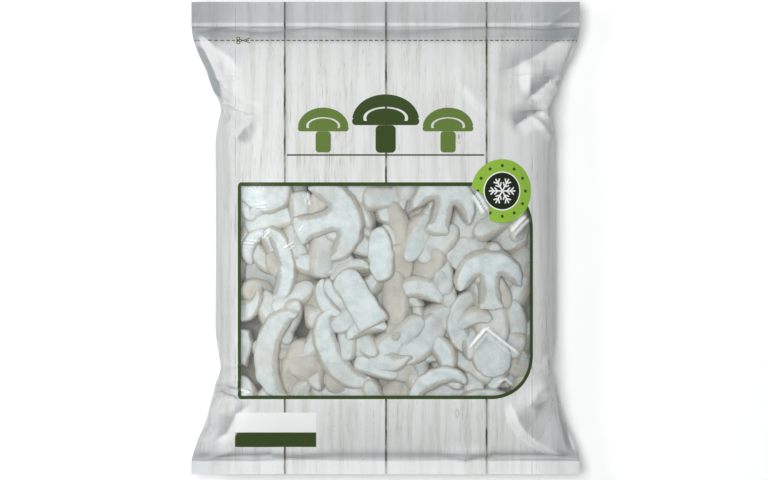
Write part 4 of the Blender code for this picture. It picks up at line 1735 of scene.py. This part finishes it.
@dataclass
class SlicePile:
    """The frozen slices that show in the window, and the mass below them."""

    finish: FrozenFlesh
    form: PouchForm
    roof: Roof
    voxel: float = 0.85 * MM
    smoothing: int = 10
    swell: float = 0.45 * MM
    bumps: float = 0.45 * MM
    thicken: float = 3.0 * MM
    skew: float = 3.0 * MM
    spacing: float = 16.0 * MM
    headroom: float = 3.5 * MM
    floor_room: float = 6.0 * MM
    seed: int = 41

    def smooth_copy(self, node: str, voxel: float) -> bpy.types.Mesh:
        """Copy a node's solid into an even, rounded mesh.

        Args:
            node: the solid's name.
            voxel: the mesh's cell.

        Returns:
            The new mesh.
        """
        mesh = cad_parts[node].data.copy()
        build = bmesh.new()
        build.from_mesh(mesh)
        bmesh.ops.remove_doubles(build, verts=build.verts, dist=1e-6)
        build.to_mesh(mesh)
        build.free()
        holder = link(node + "_holder", mesh)
        remesh = holder.modifiers.new("even", "REMESH")
        remesh.mode = "VOXEL"
        remesh.voxel_size = voxel
        rounding = holder.modifiers.new("round", "SMOOTH")
        rounding.factor = 0.5
        rounding.iterations = self.smoothing
        made = bpy.data.meshes.new_from_object(holder.evaluated_get(bpy.context.evaluated_depsgraph_get()))
        bpy.data.objects.remove(holder)
        made.materials.clear()
        return made

    def hollow(self, flat: np.ndarray, facing: np.ndarray) -> np.ndarray:
        """How near each point lies to a hollow side of its slice's outline, where the gills are.

        It is the nearness to the outline, less the nearness to the outline's convex hull, whose
        distance is the least of h(d) − p·d over directions d, h being the outline's reach that way.

        Args:
            flat: the points in the slice's own plane.
            facing: how squarely each point faces out of that plane.

        Returns:
            A value from 0 to 1 for each point.
        """
        side = flat[facing < 0.5]
        side = side[::max(1, len(side) // 600)]
        near = np.sqrt(((flat[:, None] - side[None]) ** 2).sum(-1).min(1))
        turn = np.linspace(0, 2 * np.pi, 64, endpoint=False)
        ways = np.stack([np.cos(turn), np.sin(turn)])
        hull = ((side @ ways).max(0) - flat @ ways).min(1)
        return ease(1.2 - near / (5.5 * MM)) * ease((hull - near - 0.6 * MM) / (3 * MM))

    def slice_piece(self, node: str, number: int) -> bpy.types.Object:
        """One slice of the top layer: rounded, slightly uneven, with its cut faces marked.

        Args:
            node: the solid it stands for.
            number: its place in the row of slices, which seeds its draw.

        Returns:
            The piece.
        """
        mesh = self.smooth_copy(node, self.voxel)
        mesh.name = node + "_flesh"
        points, normals = points_of(mesh), normals_of(mesh)
        centre = points.mean(0)
        axes = np.linalg.svd(points - centre, full_matrices=False)[2]
        up = axes[2] * np.sign(axes[2][2])
        facing = np.abs(normals @ up)
        flat = (points - centre) @ axes[:2].T
        relief = self.swell + self.bumps * waves(points, 10 * MM, number)
        points = points + normals * relief[:, None]
        points = self.press_down(points, (points - centre) @ up, up, axes[:2], number)
        points = self.roof.press(points, self.form)
        set_points(mesh, points)
        skin_only = "dome" in node
        set_value(mesh, "cut", 0 * facing if skin_only else ease((facing - 0.66) / 0.30))
        set_value(mesh, "gill", 0 * facing if skin_only else self.hollow(flat, facing))
        set_value(mesh, "tone", np.full(len(points), (number * 0.618) % 1.0))
        set_value(mesh, "depth", self.roof.depth(points))
        mesh.shade_smooth()
        return dress(link(node + "_flesh", mesh), [self.material], [node])

    def press_down(self, points: np.ndarray, level: np.ndarray, up: np.ndarray, plane: np.ndarray,
                   number: int) -> np.ndarray:
        """Thicken a slice below its upper face, and draw its lower face out to one side.

        A share e rises from 0 at the upper face to 1 at the lower one. The points move down by
        e times the thickening, and sideways by e times the skew, so that the skin of one side shows.

        Args:
            points: the slice's points.
            level: how far each lies above the slice's middle, square to its faces.
            up: the upper face's direction.
            plane: two directions in the slice's plane.
            number: the slice's number, which seeds the side.

        Returns:
            The moved points.
        """
        draw = np.random.default_rng(100 + number)
        share = ease((level.max() - level) / (level.max() - level.min()))[:, None]
        side = draw.normal(size=2) @ plane
        side /= np.linalg.norm(side)
        size = np.ptp(points @ plane[1])
        reach = min(self.skew, 0.2 * size) * draw.uniform(0.5, 1.0)
        return points + share * (side * reach - up * self.thicken)

    def loose_layer(self) -> tuple[np.ndarray, np.ndarray, dict[str, np.ndarray]]:
        """Slices strewn below the top layer, on a jittered grid under the window.

        Returns:
            The points, the faces, and each point's tone, cut and gill values.
        """
        draw = np.random.default_rng(self.seed)
        low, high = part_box(WINDOW_NODE)
        grids, values = [], {"tone": [], "cut": [], "gill": []}
        kinds = (Cut.CRESCENT, Cut.OVAL, Cut.CRESCENT, Cut.STEM, Cut.DOME)
        for y in np.arange(low.y + 2 * MM, high.y, self.spacing):
            for x in np.arange(low.x + 2 * MM, high.x, self.spacing):
                px, py = x + draw.uniform(-5, 5) * MM, y + draw.uniform(-5, 5) * MM
                kind = kinds[draw.integers(len(kinds))]
                length = draw.uniform(26, 42) * MM
                narrow, wide = (0.34, 0.46) if kind is Cut.CRESCENT else (0.45, 0.62)
                width = length * draw.uniform(narrow, wide)
                made = LooseSlice(kind, length, width, draw.uniform(7.0, 9.5) * MM)
                grid, cut, gill = made.points(draw)
                turn, lean = draw.uniform(0, 2 * np.pi, 2)
                spin = Matrix.Rotation(draw.uniform(0.05, 0.55), 3, (math.cos(lean), math.sin(lean), 0))
                grid = grid @ np.array(spin @ Matrix.Rotation(turn, 3, "Z")).T
                deep = draw.uniform(8.0, 14.0) * MM
                grid += (px, py, float(self.roof.over(np.array(px), np.array(py))) - deep)
                room = self.roof.over(grid[..., 0], grid[..., 1]) - grid[..., 2]
                drop = max(0.0, self.headroom - room.min())
                grid[..., 2] -= min(drop, grid[..., 2].min() - self.floor_room)
                grids.append(grid)
                values["tone"].append(np.full(cut.shape, draw.uniform(0.1, 1.0)))
                values["cut"].append(cut)
                values["gill"].append(gill)
        count, around = grids[0].shape[:2]
        index = np.arange(count * around).reshape(count, around)
        after = np.roll(index, -1, 1)
        faces = np.stack([index[:-1], index[1:], after[1:], after[:-1]], -1).reshape(-1, 4)
        every = np.arange(len(grids))[:, None, None] * (count * around)
        points = self.roof.press(np.concatenate([grid.reshape(-1, 3) for grid in grids]), self.form)
        return (points, (faces[None] + every).reshape(-1, 4),
                {name: np.concatenate(parts).ravel() for name, parts in values.items()})

    def mass_piece(self) -> bpy.types.Object:
        """The lumpy mass of slices that the top layer lies on.

        Returns:
            The piece.
        """
        core = self.smooth_copy(BULK_NODE, 2.2 * MM)
        points, normals = points_of(core), normals_of(core)
        points = points + normals * (0.8 * MM * waves(points, 14 * MM, 3))[:, None] - (0, 0, 2.5 * MM)
        points[:, 2] = np.maximum(points[:, 2], 1.5 * MM)
        core_faces = [tuple(face.vertices) for face in core.polygons]
        loose, faces, values = self.loose_layer()
        every = np.concatenate([self.roof.press(points, self.form), loose])
        mesh = bpy.data.meshes.new("frozen_mass")
        mesh.from_pydata(every, [], core_faces + (faces + len(points)).tolist())
        for name, core_value in (("tone", 1.0), ("cut", 0.0), ("gill", 0.0)):
            set_value(mesh, name, np.concatenate([np.full(len(points), core_value), values[name]]))
        set_value(mesh, "depth", self.roof.depth(every))
        build = bmesh.new()
        build.from_mesh(mesh)
        bmesh.ops.remove_doubles(build, verts=build.verts, dist=0.01 * MM)
        bmesh.ops.recalc_face_normals(build, faces=build.faces)
        build.to_mesh(mesh)
        build.free()
        mesh.shade_smooth()
        return dress(link("frozen_mass", mesh), [self.material], [BULK_NODE])

    def build(self) -> list[bpy.types.Object]:
        """Make every slice and the mass below.

        Returns:
            The slices, and then the mass.
        """
        self.material = self.finish.make()
        nodes = sorted(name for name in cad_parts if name.startswith(SLICE_PREFIX))
        made = [self.slice_piece(node, number) for number, node in enumerate(nodes, 1)]
        return made + [self.mass_piece()]


def dress(piece: bpy.types.Object, materials: Sequence[bpy.types.Material], nodes: Sequence[str]) -> bpy.types.Object:
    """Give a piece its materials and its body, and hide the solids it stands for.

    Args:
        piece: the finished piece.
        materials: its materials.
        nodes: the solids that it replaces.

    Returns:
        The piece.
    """
    for material in materials:
        piece.data.materials.append(material)
    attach(piece, "root")
    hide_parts(*nodes)
    return piece


@dataclass
class Bag:
    """The bag's film in three pieces: printed front, clear window and printed back."""

    form: PouchForm
    finish: FilmFinish
    marks: LabelPrint
    boards: BoardPrint
    coarse_run: tuple[int, int, float] = (120, 12, 0.03)
    fine_run: tuple[int, int, float] = (50, 14, 0.02)

    def __post_init__(self) -> None:
        """Make the film's shape."""
        self.film = self.relaxed()

    def relaxed(self) -> Film:
        """Run the film's relaxing, coarse first and then fine.

        Returns:
            The film, folded and with its layers apart.
        """
        relaxer = FilmRelaxer(self.form)
        relaxer.relax(*self.coarse_run)
        relaxer.refine()
        relaxer.relax(*self.fine_run)
        points = relaxer.points
        film = Film(self.form, finer_rows(finer_columns(points)), relaxer.flat_length)
        film.calm_ends()
        film.fold(CREASES)
        film.part_layers()
        return film

    def build(self) -> list[bpy.types.Object]:
        """Make the three pieces.

        Returns:
            The front, the window and the back.
        """
        film = self.film
        shop = PrintShop(film, self.marks, self.boards)
        front = film.front_grid()
        keep = np.ones((front.shape[0] - 1, front.shape[1] - 1), bool)
        flat = film.front_print()
        left, right, bottom, top = shop.window
        clear = (flat[..., 0] > left) & (flat[..., 0] < right)
        clear &= (flat[..., 1] > bottom) & (flat[..., 1] < top)
        rows, columns = np.where(clear.any(1))[0], np.where(clear.any(0))[0]
        keep[rows[0] - 1:rows[-1] + 1, columns[0] - 1:columns[-1] + 1] = False
        slopes = {"turn": film.turn[:, :film.half + 1], "steep": film.steep[:, :film.half + 1]}
        front_mesh = sheet_mesh("film_front", front, flat, slopes, keep)
        window_mesh = sheet_mesh("film_window", front, flat, slopes, ~keep)
        back_mesh = sheet_mesh("film_back", film.back_grid(), film.back_print(), {}, np.ones_like(keep))
        return [
            dress(link("film_front", front_mesh), [self.finish.make(Layer.FRONT, shop)], [FILM_NODE]),
            dress(link("film_window", window_mesh), [self.finish.make(Layer.WINDOW, shop)], [WINDOW_NODE]),
            dress(link("film_back", back_mesh), [self.finish.make(Layer.BACK, shop)], [FILM_NODE]),
        ]


@dataclass
class Studio:
    """A plain pale floor, soft lights and a camera that looks straight down."""

    floor_size: float = 6.0
    floor_level: float = -0.2 * MM
    camera_height: float = 2.52
    lens: float = 182.0
    aim: tuple[float, float] = (-0.97 * MM, -1.29 * MM)

    def floor(self) -> bpy.types.Object:
        """The floor, just under the bag.

        Returns:
            The floor.
        """
        half = self.floor_size / 2
        corners = [(-half, -half), (half, -half), (half, half), (-half, half)]
        mesh = bpy.data.meshes.new("floor")
        mesh.from_pydata([(x, y, self.floor_level) for x, y in corners], [], [(0, 1, 2, 3)])
        graph = Graph("floor_paper")
        tone = graph.mix(graph.noise(graph.place(), 3.0, 2.0), shade(250, 250, 250), shade(252, 252, 252))
        mesh.materials.append(graph.finish(graph.shader(
            "ShaderNodeBsdfPrincipled", Base_Color=tone, Roughness=0.9)))
        made = link("floor", mesh)
        return made

    def lamp(self, name: str, place: Sequence[float], size: Sequence[float], power: float,
             mirrored: bool) -> None:
        """An area light aimed at the bag, which glossy film mirrors or not.

        Args:
            name: the lamp's name.
            place: where it hangs.
            size: its two sides.
            power: its strength in watts.
            mirrored: whether glossy film mirrors it.
        """
        light = bpy.data.lights.new(name, "AREA")
        light.shape = "RECTANGLE"
        light.size, light.size_y = size
        light.energy = power
        made = bpy.data.objects.new(name, light)
        made.location = place
        made.rotation_euler = (-Vector(place)).to_track_quat("-Z", "Y").to_euler()
        made.visible_camera = False
        made.visible_glossy = mirrored
        bpy.context.scene.collection.objects.link(made)

    def camera(self) -> None:
        """A long lens over the bag, square to the floor."""
        data = bpy.data.cameras.new("camera")
        data.lens = self.lens
        data.sensor_width = 36.0
        data.clip_end = 20.0
        made = bpy.data.objects.new("camera", data)
        made.location = (*self.aim, self.camera_height)
        bpy.context.scene.collection.objects.link(made)
        bpy.context.scene.camera = made

    def build(self) -> None:
        """Set up the floor, the lights, the air and the camera."""
        self.floor()
        self.lamp("overhead", (-0.32, 0.05, 2.0), (0.9, 0.9), 30.0, mirrored=False)
        self.lamp("left", (-1.1, 0.3, 1.0), (0.4, 0.4), 4.0, mirrored=True)
        self.lamp("top", (0.2, 1.2, 1.0), (0.6, 0.3), 1.5, mirrored=True)
        world = bpy.data.worlds.new("air")
        world.use_nodes = True
        sky = world.node_tree.nodes["Background"]
        sky.inputs["Color"].default_value = (0.97, 0.985, 1.0, 1.0)
        sky.inputs["Strength"].default_value = 0.31
        bpy.context.scene.world = world
        bpy.context.scene.view_settings.view_transform = "Standard"
        self.camera()


def main() -> None:
    """Build the studio, the bag and what it holds, in that order."""
    logging.basicConfig(level=logging.INFO, format="%(name)s: %(message)s")
    Studio().build()
    bag = Bag(PouchForm.from_frame(), FilmFinish(), LabelPrint(), BoardPrint())
    pile = SlicePile(FrozenFlesh(), bag.form, Roof.under(bag.film))
    for part in (bag, pile):
        for piece in part.build():
            LOG.info("%s: %d faces", piece.name, len(piece.data.polygons))


if __name__ == "__main__":
    main()
